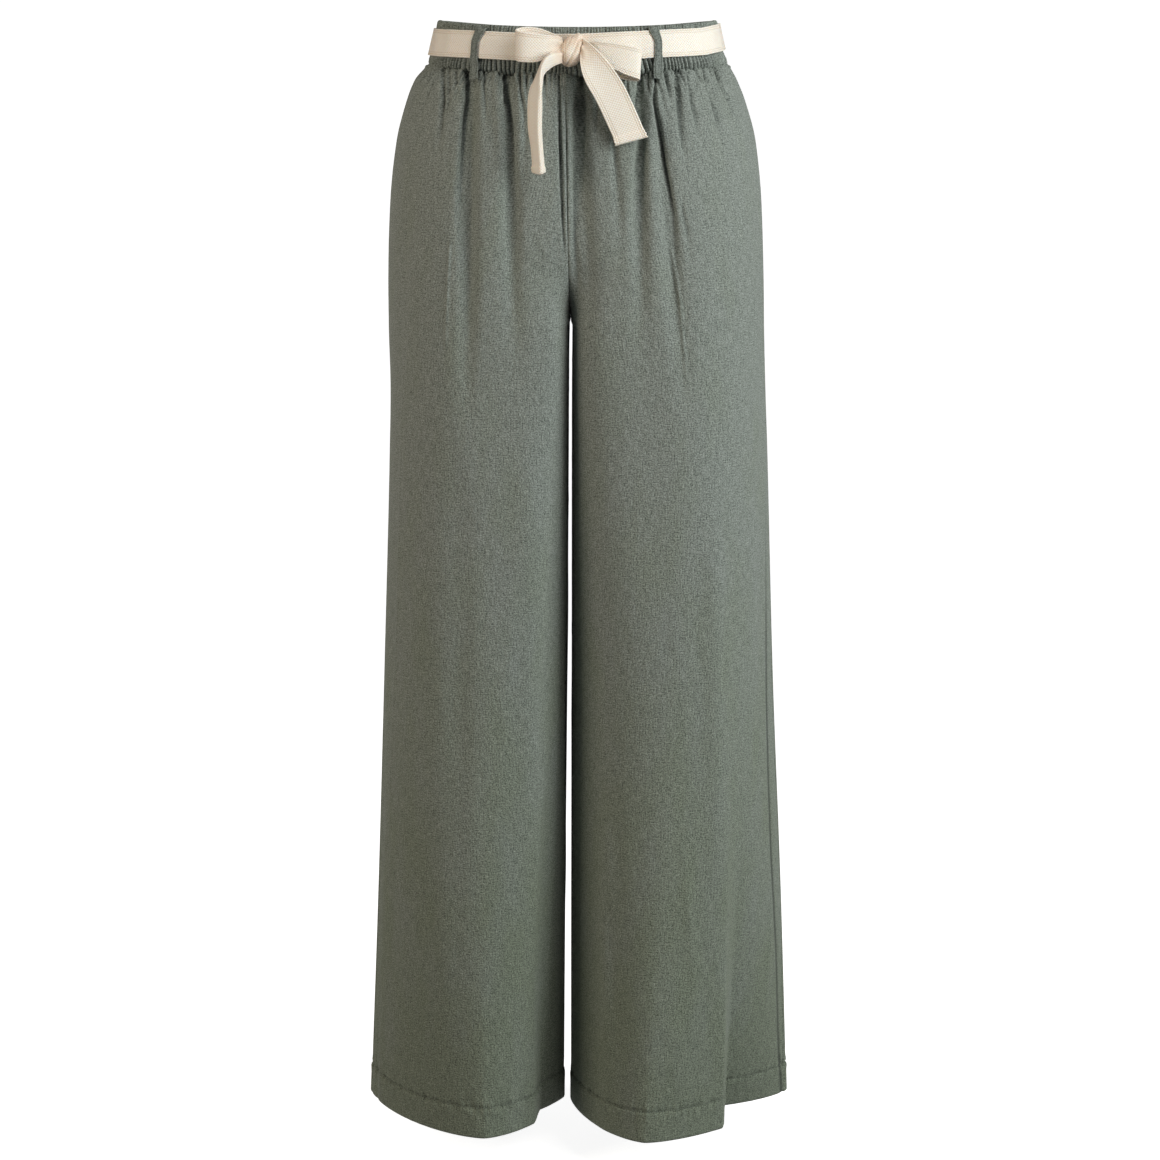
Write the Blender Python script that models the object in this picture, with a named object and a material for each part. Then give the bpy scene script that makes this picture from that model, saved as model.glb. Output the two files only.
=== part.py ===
"""Linen drawstring trousers at real size, in the hollow shape that they have when worn.

+Z is up, the front faces -Y and +X is the wearer's left. The origin is the middle of the waist opening,
halfway up the waistband, where the wearer holds the garment. Lengths are in millimetres until a mesh is
made. Each leg panel is a wall whose level sections come from the rows of SECTIONS, with the soft folds of
FOLDS and the hem flutes of FLUTES laid on them.
"""

import bmesh
import bpy
import numpy as np

MM = 0.001

# Walls
LINEN_WALL = 1.4
HEM_WALL = 2.8
BAND_WALL = 3.4
LOOP_WALL = 1.2
TAPE_WALL = 1.4
SEAM_GAP = 0.3

# Heights
BAND_TOP = 22.8
BAND_FOOT = -17.5
CROTCH = -258.0
HEM = -1031.0
HEM_TURN = 27.0
FRONT_DIP = 5.8  # the waist runs lower in the middle of the front than at the sides
BACK_DIP = 9.5
DIP_END = -150.0  # below this height the sections are level
WAIST_HALF_WIDTH = 142.0

# Crotch curve: from these heights the centre seam bends under, towards the inseam
FRONT_CURVE_TOP = -160.0
BACK_CURVE_TOP = -135.0
SEAM_TUCK = 0.05  # share of the depth by which a centre seam sinks in
TUCK_TOP = -20.0
TUCK_FOOT = -70.0
GAP_OPENS = 6.0  # length below the crotch over which the legs part
SECTION_SAMPLES = 700  # points of each of the two curves of a section
EDGE_SAMPLES = 28  # points at each edge of a section over which folds fade in

# One row for each level section. right and left are the side seams, seam is the middle between the
# inner edges, gap the space between the legs, and the crowns are where each half comes forward most.
SECTION_COLUMNS = ("z", "right", "left", "seam", "gap", "crown_right", "crown_left",
                   "front_right", "front_left", "back", "side", "power", "inner_power")
SECTIONS = (
    (23, -129.6, 128.6, -14.0, 0.3, -32, 18, -92, -92, 92, 2, 2.2, 2.2),
    (2, -133.6, 131.4, -14.0, 0.3, -32, 18, -95, -95, 96, 2, 2.2, 2.2),
    (-18, -139.4, 139.6, -14.0, 0.3, -32, 18, -98, -98, 99, 2, 2.2, 2.2),
    (-33, -151.6, 147.8, -13.5, 0.3, -36, 20, -103, -103, 106, 3, 2.2, 2.2),
    (-55, -160.4, 156.6, -13.0, 0.3, -42, 24, -108, -108, 114, 4, 2.2, 2.2),
    (-90, -169.5, 166.0, -12.3, 0.3, -50, 30, -112, -112, 124, 5, 2.2, 2.2),
    (-145, -176.0, 172.0, -10.5, 0.3, -62, 42, -114, -114, 133, 7, 2.2, 2.2),
    (-200, -178.5, 174.5, -9.0, 0.3, -74, 58, -114, -114, 134, 9, 2.2, 2.2),
    (-236, -179.0, 175.4, -7.6, 0.3, -81, 67, -113.6, -113.6, 131.5, 9.6, 2.15, 2.95),
    (-258, -179.0, 176.0, -6.6, 3.0, -86, 72, -113, -113, 129, 10, 2.1, 4.1),
    (-318, -178.0, 177.8, -7.0, 3.0, -91, 79, -111, -111, 123, 11, 2.1, 3.35),
    (-382, -179.5, 180.5, -7.3, 3.0, -93, 84, -110, -110, 118, 12, 2.05, 2.8),
    (-577, -186.5, 187.5, -8.1, 3.8, -94, 84, -109, -110, 114, 14, 1.95, 2.2),
    (-818, -196.0, 199.0, -9.6, 5.4, -93, 76, -111, -116, 114, 18, 1.8, 1.85),
    (-1031, -206.0, 208.0, -10.5, 6.5, -90, 64, -114, -126, 116, 24, 1.52, 1.52),
)

# Soft vertical folds. x moves from x_top to x_foot between the two heights; depth sinks into the body.
# A fold that starts at the waistband has its full depth there, and the others fade in and out.
FOLD_FADE_IN = 0.2
FOLD_FADE_OUT = 0.6
FOLD_COLUMNS = ("panel", "x_top", "x_foot", "z_top", "z_foot", "width", "depth")
FOLDS = (
    ("front_right", -120, -120, 20, -70, 6, 2.5),
    ("front_right", -98, -102, 0, -380, 8, 9.0),
    ("front_right", -82, -82, 20, -62, 5, 2.5),
    ("front_right", -65, -57, 0, -330, 8, 7.5),
    ("front_right", -21, -10, 0, -185, 4, 4.0),
    ("front_right", -112, -106, -330, -900, 16, 3.0),
    ("front_right", -44, -44, -330, -960, 12, -3.0),
    ("front_left", -3, 12, 0, -310, 8, 6.0),
    ("front_left", 58, 57, 0, -310, 7, 7.0),
    ("front_left", 70, 104, -45, -370, 9, 6.0),
    ("front_left", 90, 95, 0, -90, 5, 2.5),
    ("front_left", 103, 110, 20, -62, 5, 2.5),
    ("front_left", 118, 130, 20, -75, 5, 2.5),
    ("front_left", 126, 136, -380, -960, 11, -3.5),
    ("front_left", 28, 26, -700, -1100, 7, -3.0),
    ("back_right", -108, -112, 0, -330, 9, 5.0),
    ("back_right", -66, -60, 0, -250, 8, 5.5),
    ("back_right", -28, -24, 0, -150, 6, 3.5),
    ("back_right", -100, -96, -420, -980, 15, -3.5),
    ("back_right", -50, -46, -300, -820, 13, 3.5),
    ("back_left", 20, 14, 0, -170, 6, 4.0),
    ("back_left", 52, 46, 0, -280, 8, 5.0),
    ("back_left", 88, 98, 0, -340, 9, 5.5),
    ("back_left", 116, 122, -460, -990, 13, -4.0),
    ("back_left", 70, 66, -350, -880, 14, 3.5),
)

# Flutes of the wide legs at the hem. The cloth beyond the edge, up to the side or the inseam, drops back.
FLUTE_GROWTH = 3  # power by which a flute deepens towards the hem
FLUTE_COLUMNS = ("panel", "edge", "towards", "start", "drop", "soft_top", "soft_foot", "taper")
FLUTES = (
    ("front_left", 139, "side", -480, 62, 26, 5, 0.6),
    ("front_right", -43, "inseam", -480, 33, 20, 6, 0.4),
    ("back_left", 40, "inseam", -520, 26, 22, 8, 0.5),
    ("back_right", -150, "side", -520, 34, 24, 7, 0.6),
)

# Rows of each panel's grid, and its columns. Every second column is a gather under the waistband.
PANEL_ROWS = (-24, -33, -46, -62, -82, -108, -138, -172, -205, -232, -249, -258, -270, -310,
              -380, -470, -560, -650, -740, -830, -910, -970)
FRONT_COLUMNS = 32
BACK_COLUMNS = 26
HEM_STEP = 1.0  # height of the row where the wall thickens to the turned hem

# Gathers and ribs. Each is unlike its neighbour by up to a share of its size, at a pace along the row.
GATHER_RISE = 1.7
GATHER_UNEVEN = 0.5
GATHER_PACE = 2.3
GATHER_LENGTH = 75.0
LENGTH_UNEVEN = 0.62
LENGTH_PACE = 1.7

BAND_LEVELS = (BAND_TOP, 0.5 * (BAND_TOP + BAND_FOOT), BAND_FOOT)
RIBS = 132
RIB_RISE = 0.8
RIB_UNEVEN = 0.4
RIB_PACE = 1.9
INSIDE_SHARE = 4  # outer columns of the waistband to each column of its plain inside

# Woven tape belt. The heights are of its middle, at places x of the front and in the middle of the back.
TAPE_WIDTH = 25.0
BELT_COLUMNS = 84
BELT_CLEARANCE = 0.45
BELT_OFFSET = RIB_RISE + BELT_CLEARANCE
BELT_HEIGHTS = ((-138, 1.7), (-98, 1.0), (-54, -0.8), (-4, -2.0), (79, 1.8), (112, 2.8), (134, 6.6))
BELT_BACK_HEIGHT = -6.0
BELT_TURN = 60.0  # depth behind the sides over which the back's heights take over from the front's

# Belt loops: x of the centre line at the top and at the foot
LOOP_WIDTH = 9.0
SLOPE_STEP = 1.0  # length over which the slope of the waist under a loop is read
LOOPS = (
    ("belt_loop_front_right", "front_right", -88.0, -95.0),
    ("belt_loop_front_left", "front_left", 67.6, 71.4),
    ("belt_loop_back_right", "back_right", -80.0, -82.0),
    ("belt_loop_back_left", "back_left", 78.0, 80.0),
)
# Heights above the middle of the belt, each with the distance of the loop's wall from the plain waist
LOOP_STATIONS = ((16.0, 0.95), (14.6, 1.2), (13.9, 3.15), (0.0, 3.2), (-13.9, 3.15), (-15.2, 1.6),
                 (-21.0, 1.9), (-32.0, 2.1))

# Bow. Each station is a centre, the direction across the tape and half of its seen width.
KNOT_CENTRE = (-5.6, -107.3, -4.2)
KNOT_HALF = (9.3, 8.6, 13.6)
KNOT_POWER = 3.0
KNOT_SLICES = 10
KNOT_SIDES = 16
BOW_STATIONS = {
    "bow_loop_right": (
        ((-15.5, -110.2, -3.6), (0.0, 0.0, 1.0), 9.5),
        ((-24.0, -114.4, -3.4), (0.0, 0.0, 1.0), 11.5),
        ((-36.0, -117.2, -2.4), (0.0, 0.0, 1.0), 12.8),
        ((-47.0, -117.4, -1.4), (0.0, 0.0, 1.0), 13.0),
        ((-53.0, -115.4, -1.0), (0.0, 0.0, 1.0), 13.0),
        ((-55.4, -111.2, 0.0), (0.0, 0.0, 1.0), 13.0),
        ((-53.0, -107.2, 1.0), (0.0, 0.0, 1.0), 13.0),
        ((-44.0, -104.8, 2.0), (0.0, 0.0, 1.0), 13.0),
        ((-33.0, -104.2, 1.8), (0.0, 0.0, 1.0), 12.2),
        ((-24.0, -104.8, 0.4), (0.0, 0.0, 1.0), 11.0),
        ((-15.5, -106.2, -1.6), (0.0, 0.0, 1.0), 9.5),
    ),
    "bow_loop_left": (
        ((4.3, -110.4, -3.8), (0.0, 0.0, 1.0), 8.5),
        ((14.0, -114.6, -5.4), (0.05, 0.0, 1.0), 11.0),
        ((28.0, -117.4, -9.6), (0.08, 0.0, 1.0), 13.0),
        ((43.0, -118.0, -13.6), (0.08, 0.0, 1.0), 13.6),
        ((53.6, -115.4, -15.6), (0.06, 0.0, 1.0), 13.8),
        ((55.6, -111.6, -15.4), (0.06, 0.0, 1.0), 13.6),
        ((50.0, -108.0, -13.8), (0.06, 0.0, 1.0), 13.2),
        ((37.0, -106.0, -10.6), (0.05, 0.0, 1.0), 12.4),
        ((22.0, -105.2, -6.6), (0.04, 0.0, 1.0), 11.0),
        ((4.3, -106.4, -3.4), (0.0, 0.0, 1.0), 8.5),
    ),
    "belt_end_right": (
        ((-13.7, -114.5, -9.0), (0.0, -0.1, -1.0), 6.5),
        ((-21.5, -121.4, -11.8), (0.2, -0.35, -0.9), 8.5),
        ((-28.5, -128.2, -18.5), (0.35, -0.75, -0.55), 11.0),
        ((-33.6, -129.0, -29.0), (0.4, -0.9, -0.15), 12.4),
        ((-36.8, -127.6, -45.0), (0.42, -0.91, 0.0), 13.0),
        ((-38.8, -128.6, -68.0), (0.42, -0.91, 0.0), 13.0),
        ((-36.6, -130.4, -91.0), (0.48, -0.88, 0.0), 13.0),
        ((-33.4, -131.6, -113.0), (0.58, -0.81, 0.0), 12.6),
    ),
    "belt_end_left": (
        ((2.3, -115.2, -7.0), (0.3, 0.0, 1.0), 6.5),
        ((9.0, -119.4, -12.0), (0.7, 0.0, 0.7), 9.0),
        ((17.0, -121.6, -22.5), (0.88, 0.0, 0.5), 12.6),
        ((28.0, -121.8, -41.0), (0.92, 0.0, 0.4), 13.8),
        ((38.0, -120.6, -62.0), (0.94, 0.0, 0.36), 14.0),
        ((47.6, -119.6, -84.0), (0.94, 0.0, 0.34), 14.6),
    ),
}
STATION_STEPS = 2  # mesh steps between two stations

# Linear colours, and the roughness of both cloths
LINEN_COLOUR = (0.155, 0.188, 0.150, 1.0)
TAPE_COLOUR = (0.84, 0.73, 0.60, 1.0)
CLOTH_ROUGHNESS = 0.9


def material(name, colour):
    """Plain Principled material of a cloth."""
    made = bpy.data.materials.new(name)
    made.use_nodes = True
    shader = made.node_tree.nodes["Principled BSDF"]
    shader.inputs["Base Color"].default_value = colour
    shader.inputs["Roughness"].default_value = CLOTH_ROUGHNESS
    shader.inputs["Metallic"].default_value = 0.0
    return made


def solid(name, points, faces, cloth):
    """One closed object from points in millimetres, with its faces turned outward."""
    mesh = bpy.data.meshes.new(name)
    mesh.from_pydata([tuple(p) for p in np.asarray(points, dtype=float) * MM], [], faces)
    work = bmesh.new()
    work.from_mesh(mesh)
    bmesh.ops.recalc_face_normals(work, faces=work.faces)
    work.to_mesh(mesh)
    work.free()
    mesh.materials.append(cloth)
    mesh.shade_smooth()
    made = bpy.data.objects.new(name, mesh)
    bpy.context.scene.collection.objects.link(made)
    return made


def soft_step(value):
    """0 below 0, 1 above 1 and an even S between them."""
    share = np.clip(value, 0.0, 1.0)
    return share * share * (3.0 - 2.0 * share)


def uneven(index, share, pace):
    """Numbers from 1 - share to 1 that differ from one place of a row to the next."""
    return 1.0 - share * (0.5 - 0.5 * np.sin(pace * index))


def section_value(column, z):
    """Value of a section column at height z, on a smooth curve that never overshoots its rows."""
    rows = np.array(SECTIONS, dtype=float)[::-1]
    heights = rows[:, 0]
    values = rows[:, SECTION_COLUMNS.index(column)]
    rise = np.diff(values) / np.diff(heights)
    same = rise[:-1] * rise[1:] > 0.0
    total = np.where(same, rise[:-1] + rise[1:], 1.0)
    middle = np.where(same, 2.0 * rise[:-1] * rise[1:] / total, 0.0)
    slopes = np.concatenate(([rise[0]], middle, [rise[-1]]))
    at = int(np.clip(np.searchsorted(heights, z) - 1, 0, len(heights) - 2))
    span = heights[at + 1] - heights[at]
    share = float(np.clip((z - heights[at]) / span, 0.0, 1.0))
    square = share * share
    cube = square * share
    return ((2.0 * cube - 3.0 * square + 1.0) * values[at]
            + (cube - 2.0 * square + share) * span * slopes[at]
            + (3.0 * square - 2.0 * cube) * values[at + 1]
            + (cube - square) * span * slopes[at + 1])


def sides_of(panel):
    """-1 or +1 for the wearer's right or left, and -1 or +1 for the front or back."""
    side = 1 if panel.endswith("left") else -1
    face = 1 if panel.startswith("back") else -1
    return side, face


def centre_depth(panel, z, crown_depth):
    """y of a panel's inner edge: the centre seam above the crotch, the inseam below it."""
    face = sides_of(panel)[1]
    curve_top = BACK_CURVE_TOP if face > 0 else FRONT_CURVE_TOP
    bend = np.clip((curve_top - z) / (curve_top - CROTCH), 0.0, 1.0)
    tuck = SEAM_TUCK * soft_step((TUCK_TOP - z) / (TUCK_TOP - TUCK_FOOT))
    depth = crown_depth * np.sqrt(1.0 - bend * bend) * (1.0 - tuck)
    return depth + face * 0.5 * SEAM_GAP if z <= CROTCH else depth


def fold_offset(panel, x, z):
    """Sum of the panel's soft folds at the points x of the section at height z, negative inward."""
    total = np.zeros_like(x)
    for row in FOLDS:
        fold = dict(zip(FOLD_COLUMNS, row))
        if fold["panel"] != panel or not fold["z_foot"] < z < fold["z_top"]:
            continue
        share = (fold["z_top"] - z) / (fold["z_top"] - fold["z_foot"])
        middle = fold["x_top"] + share * (fold["x_foot"] - fold["x_top"])
        fade = soft_step((1.0 - share) / FOLD_FADE_OUT)
        if fold["z_top"] < 0:
            fade *= soft_step(share / FOLD_FADE_IN)
        total -= fold["depth"] * fade * np.exp(-((x - middle) / fold["width"]) ** 2)
    return total


def flute_shift(panel, x, z):
    """How far the cloth beyond each hem flute drops back at height z."""
    total = np.zeros_like(x)
    side = sides_of(panel)[0]
    for row in FLUTES:
        flute = dict(zip(FLUTE_COLUMNS, row))
        if flute["panel"] != panel or z > flute["start"]:
            continue
        share = (flute["start"] - z) / (flute["start"] - HEM)
        soft = flute["soft_top"] + share * (flute["soft_foot"] - flute["soft_top"])
        if flute["towards"] == "side":
            end = section_value("left" if side > 0 else "right", z)
        else:
            end = section_value("seam", z) + side * 0.5 * section_value("gap", z)
        beyond = (x - flute["edge"]) / (end - flute["edge"])
        step = soft_step(np.abs(x - flute["edge"]) / soft) * (beyond > 0.0)
        taper = np.clip(1.0 - beyond, 0.0, 1.0) ** flute["taper"]
        total += flute["drop"] * share ** FLUTE_GROWTH * step * taper
    return total


def dense_section(panel, z, folded=True):
    """Plan curve of a panel at height z, from the side seam over the crown to the inner edge."""
    side, face = sides_of(panel)
    outer_x = section_value("left" if side > 0 else "right", z)
    crown_x = section_value("crown_left" if side > 0 else "crown_right", z)
    depth_name = "back" if face > 0 else ("front_left" if side > 0 else "front_right")
    crown_y = section_value(depth_name, z)
    seam_gap = section_value("gap", z)
    if z > CROTCH - GAP_OPENS:
        opened = soft_step((CROTCH - z) / GAP_OPENS)
        seam_gap = SEAM_GAP + (seam_gap - SEAM_GAP) * opened
    inner_x = section_value("seam", z) + side * 0.5 * seam_gap
    side_y = section_value("side", z)
    inner_y = centre_depth(panel, z, crown_y)
    power = 2.0 / section_value("power", z)
    inner_power = 2.0 / section_value("inner_power", z)
    turn = np.linspace(0.0, 0.5 * np.pi, SECTION_SAMPLES)
    sine = np.sin(turn)
    cosine = np.sin(turn[::-1])
    outer = np.column_stack((crown_x + (outer_x - crown_x) * cosine ** power,
                             side_y + (crown_y - side_y) * sine ** power))
    inner = np.column_stack((crown_x + (inner_x - crown_x) * sine ** inner_power,
                             inner_y + (crown_y - inner_y) * cosine ** inner_power))
    curve = np.vstack((outer, inner[1:]))
    if folded:
        along = np.gradient(curve, axis=0)
        along /= np.maximum(np.linalg.norm(along, axis=1), 1e-9)[:, None]
        outward = side * face * np.column_stack((along[:, 1], -along[:, 0]))
        away = np.minimum(np.arange(len(curve)) / (2 * EDGE_SAMPLES), 1.0)
        offset = fold_offset(panel, curve[:, 0], z) * away * away[::-1]
        shift = flute_shift(panel, curve[:, 0], z)
        curve = curve + outward * offset[:, None]
        curve[:, 1] -= face * shift
    curve[0, 1] += face * 0.5 * SEAM_GAP
    return curve


def even_points(curve, count):
    """count + 1 points at even lengths along a curve."""
    steps = np.linalg.norm(np.diff(curve, axis=0), axis=1)
    length = np.concatenate(([0.0], np.cumsum(steps)))
    wanted = np.linspace(0.0, length[-1], count + 1)
    return np.column_stack([np.interp(wanted, length, curve[:, k]) for k in range(curve.shape[1])])


def dip(x, z, face):
    """Drop of the waist between the sides, fading out down the hips."""
    depth = BACK_DIP if face > 0 else FRONT_DIP
    fade = soft_step((z - DIP_END) / (BAND_FOOT - DIP_END))
    return depth * fade * (1.0 - np.clip(x / WAIST_HALF_WIDTH, -1.0, 1.0) ** 2)


def grid_normals(grid):
    """Unit normals of a grid of points, rows by columns."""
    across = np.gradient(grid, axis=1)
    down = np.gradient(grid, axis=0)
    normal = np.cross(down, across)
    return normal / np.maximum(np.linalg.norm(normal, axis=2), 1e-9)[:, :, None]


def square_seam_ends(normal, levels, side):
    """Turn the wall's direction at both edges of a panel, so that its end faces stay on their own side."""
    normal[:, 0] = (side, 0.0, 0.0)
    for row, z in enumerate(levels):
        edge = normal[row, -1]
        edge[2] = 0.0
        edge[0] = -side * abs(edge[0])
        if z <= CROTCH:
            edge[:] = (-side, 0.0, 0.0)
        edge /= np.linalg.norm(edge)
    return normal


def gather_rise(columns, heights, top):
    """Outward rise of the gathers, high on every second column and fading unevenly below the seam."""
    index = np.arange(columns + 1)
    high = (index % 2 == 1) * uneven(index, GATHER_UNEVEN, GATHER_PACE)
    length = GATHER_LENGTH * uneven(index, LENGTH_UNEVEN, LENGTH_PACE)
    below = np.maximum(top[None, :] - heights, 0.0)
    return GATHER_RISE * high[None, :] * (1.0 - soft_step(below / length[None, :]))


def panel_solid(panel, columns, cloth):
    """Leg panel: an outer grid with folds and gathers, a plain inner grid, and the walls between them."""
    side, face = sides_of(panel)
    hem_top = HEM + HEM_TURN
    levels = (BAND_FOOT - SEAM_GAP,) + PANEL_ROWS + (hem_top, hem_top - HEM_STEP, HEM)
    grid = []
    for z in levels:
        plan = even_points(dense_section(panel, z), columns)
        heights = z - dip(plan[:, 0], z, face)
        grid.append(np.column_stack((plan, heights)))
    grid = np.array(grid)
    normal = square_seam_ends(grid_normals(grid) * side * face, levels, side)
    thickness = np.where(np.array(levels) < hem_top, HEM_WALL, LINEN_WALL)
    inner = grid - normal * thickness[:, None, None]
    inner[:, :, 2] = grid[:, :, 2]
    outer = grid + normal * gather_rise(columns, grid[:, :, 2], grid[0, :, 2])[:, :, None]
    outer[:, :, 2] = grid[:, :, 2]
    rows = len(levels)
    width = columns + 1
    faces = []
    for row in range(rows - 1):
        for column in range(columns):
            a = row * width + column
            b = a + rows * width
            faces.append((a, a + 1, a + width + 1, a + width))
            faces.append((b, b + width, b + width + 1, b + 1))
    for column in range(columns):
        for a in (column, (rows - 1) * width + column):
            faces.append((a, a + 1, a + 1 + rows * width, a + rows * width))
    for row in range(rows - 1):
        for a in (row * width, row * width + columns):
            faces.append((a, a + width, a + width + rows * width, a + rows * width))
    points = np.vstack((outer.reshape(-1, 3), inner.reshape(-1, 3)))
    return solid(panel, points, faces, cloth)


def waist_ring(z, count):
    """Points of the plain waist at height z, count of them, from the centre front over the wearer's left."""
    quarters = (("front_left", True), ("back_left", False), ("back_right", True), ("front_right", False))
    pieces = []
    for panel, reverse in quarters:
        plan = dense_section(panel, max(z, BAND_FOOT), folded=False)
        heights = z - dip(plan[:, 0], BAND_FOOT, sides_of(panel)[1])
        points = np.column_stack((plan, heights))
        pieces.append(points[::-1] if reverse else points)
    curve = np.vstack(pieces + [pieces[0][:1]])
    return even_points(curve, count)[:-1]


def ring_normals(ring):
    """Outward directions of a ring in plan."""
    along = np.roll(ring, -1, axis=0) - np.roll(ring, 1, axis=0)
    outward = np.column_stack((along[:, 1], -along[:, 0], np.zeros(len(ring))))
    return outward / np.linalg.norm(outward, axis=1)[:, None]


def waistband_solid(cloth):
    """Gathered elastic waistband: ribs raised on the outside of a ring over a plain inside."""
    columns = 2 * RIBS
    index = np.arange(columns)
    rise = RIB_RISE * (index % 2) * uneven(index, RIB_UNEVEN, RIB_PACE)
    points = []
    for z in BAND_LEVELS:
        ring = waist_ring(z, columns)
        points.append(ring + ring_normals(ring) * rise[:, None])
    inside = []
    for z in (BAND_TOP, BAND_FOOT):
        ring = waist_ring(z, columns)
        inside.append((ring - ring_normals(ring) * BAND_WALL)[::INSIDE_SHARE])
    plain = columns // INSIDE_SHARE
    last_row = len(BAND_LEVELS) - 1
    first_inside = (last_row + 1) * columns
    faces = []
    for row in range(last_row):
        for column in range(columns):
            after = (column + 1) % columns
            faces.append((row * columns + column, row * columns + after,
                          (row + 1) * columns + after, (row + 1) * columns + column))
    for column in range(plain):
        after = (column + 1) % plain
        faces.append((first_inside + column, first_inside + plain + column,
                      first_inside + plain + after, first_inside + after))
        for edge, inner in ((0, first_inside), (last_row * columns, first_inside + plain)):
            for step in range(INSIDE_SHARE):
                a = column * INSIDE_SHARE + step
                b = (a + 1) % columns
                apex = inner + (column if step < INSIDE_SHARE // 2 else after)
                faces.append((edge + a, edge + b, apex))
            middle = column * INSIDE_SHARE + INSIDE_SHARE // 2
            faces.append((edge + middle, inner + after, inner + column))
    return solid("waistband", np.vstack(points + inside), faces, cloth)


def belt_height(x, y):
    """Middle height of the belt at a point of the waist."""
    places = np.array(BELT_HEIGHTS, dtype=float)
    front = np.interp(x, places[:, 0], places[:, 1])
    ends = np.interp(x, places[[0, -1], 0], places[[0, -1], 1])
    back_share = soft_step(y / BELT_TURN)
    back = BELT_BACK_HEIGHT + (ends - BELT_BACK_HEIGHT) * np.clip(np.abs(x) / WAIST_HALF_WIDTH, 0, 1) ** 2
    return front + (back - front) * back_share


def belt_solid(cloth):
    """Woven tape round the waist, a closed ring just outside the ribs."""
    corners = []
    base = waist_ring(0.0, BELT_COLUMNS)
    middle = belt_height(base[:, 0], base[:, 1])
    for across, distance in ((0.5, BELT_OFFSET), (0.5, BELT_OFFSET + TAPE_WALL),
                             (-0.5, BELT_OFFSET + TAPE_WALL), (-0.5, BELT_OFFSET)):
        heights = middle + across * TAPE_WIDTH
        points = waist_points(heights, BELT_COLUMNS)
        outward = ring_normals(points)
        points = points + outward * distance
        points[:, 2] = heights
        corners.append(points)
    faces = []
    for edge in range(4):
        following = (edge + 1) % 4
        for column in range(BELT_COLUMNS):
            after = (column + 1) % BELT_COLUMNS
            faces.append((edge * BELT_COLUMNS + column, edge * BELT_COLUMNS + after,
                          following * BELT_COLUMNS + after, following * BELT_COLUMNS + column))
    return solid("belt", np.vstack(corners), faces, cloth)


def waist_points(heights, count):
    """Plain waist points, each at its own height, between the waistband's top and foot."""
    rings = np.array([waist_ring(z, count) for z in BAND_LEVELS[::-1]])
    points = np.empty((count, 3))
    for column, height in enumerate(heights):
        line = rings[:, column]
        points[column] = [np.interp(height, line[:, 2], line[:, k]) for k in range(3)]
    return points


def surface_point(panel, x, z):
    """Point of the panel or of the waistband above it at a given x and height, and its outward direction."""
    face = sides_of(panel)[1]
    plan = dense_section(panel, z + float(dip(x, z, face)), folded=False)
    outer = plan[: len(plan) // 2 + 1]
    order = np.argsort(outer[:, 0])
    y = np.interp(x, outer[order, 0], outer[order, 1])
    slope = np.interp(x + SLOPE_STEP, outer[order, 0], outer[order, 1]) - y
    outward = face * np.array((-slope / SLOPE_STEP, 1.0, 0.0))
    return np.array((x, y, z)), outward / np.linalg.norm(outward)


def strip_solid(name, centres, across, half, outward, wall, cloth):
    """Flat strip with a four-cornered section at each station."""
    rings = []
    for c, a, h, n in zip(centres, across, half, outward):
        rings.append((c + a * h + n * 0.5 * wall, c + a * h - n * 0.5 * wall,
                      c - a * h - n * 0.5 * wall, c - a * h + n * 0.5 * wall))
    count = len(rings)
    faces = [(0, 1, 2, 3), tuple(4 * (count - 1) + k for k in (3, 2, 1, 0))]
    for station in range(count - 1):
        for edge in range(4):
            a = 4 * station + edge
            b = 4 * station + (edge + 1) % 4
            faces.append((a, b, b + 4, a + 4))
    return solid(name, np.vstack([np.array(r) for r in rings]), faces, cloth)


def loop_solid(name, panel, x_top, x_foot, cloth):
    """Belt loop: a strip that stands over the belt and lies on the cloth above and below it."""
    centres = []
    outwards = []
    acrosses = []
    top, foot = LOOP_STATIONS[0][0], LOOP_STATIONS[-1][0]
    side_y = sides_of(panel)[1] * WAIST_HALF_WIDTH
    middle = float(belt_height(np.array(x_top), np.array(side_y)))
    for above, distance in LOOP_STATIONS:
        x = x_top + (top - above) / (top - foot) * (x_foot - x_top)
        point, outward = surface_point(panel, x, middle + above)
        centres.append(point + outward * (distance + 0.5 * LOOP_WALL))
        outwards.append(outward)
        acrosses.append(np.array((-outward[1], outward[0], 0.0)))
    half = [0.5 * LOOP_WIDTH] * len(centres)
    return strip_solid(name, centres, acrosses, half, outwards, LOOP_WALL, cloth)


def smooth_stations(stations, steps):
    """Stations with more of them read between each two, on a curve through their centres."""
    table = np.array([tuple(c) + tuple(a) + (h,) for c, a, h in stations], dtype=float)
    padded = np.vstack((2.0 * table[0] - table[1], table, 2.0 * table[-1] - table[-2]))
    rows = []
    for k in range(len(table) - 1):
        p0, p1, p2, p3 = padded[k:k + 4]
        for t in np.arange(steps) / steps:
            rows.append(0.5 * (2.0 * p1 + (p2 - p0) * t + (2.0 * p0 - 5.0 * p1 + 4.0 * p2 - p3) * t * t
                               + (3.0 * p1 - p0 - 3.0 * p2 + p3) * t ** 3))
    rows.append(table[-1])
    return np.array(rows)


def bow_piece(name, cloth):
    """Bow loop or hanging end of the tape, along its stations."""
    rows = smooth_stations(BOW_STATIONS[name], STATION_STEPS)
    centres = rows[:, :3]
    across = rows[:, 3:6]
    along = np.gradient(centres, axis=0)
    outward = np.cross(along, across)
    outward /= np.linalg.norm(outward, axis=1)[:, None]
    across /= np.linalg.norm(across, axis=1)[:, None]
    return strip_solid(name, centres, across, rows[:, 6], outward, TAPE_WALL, cloth)


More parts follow.
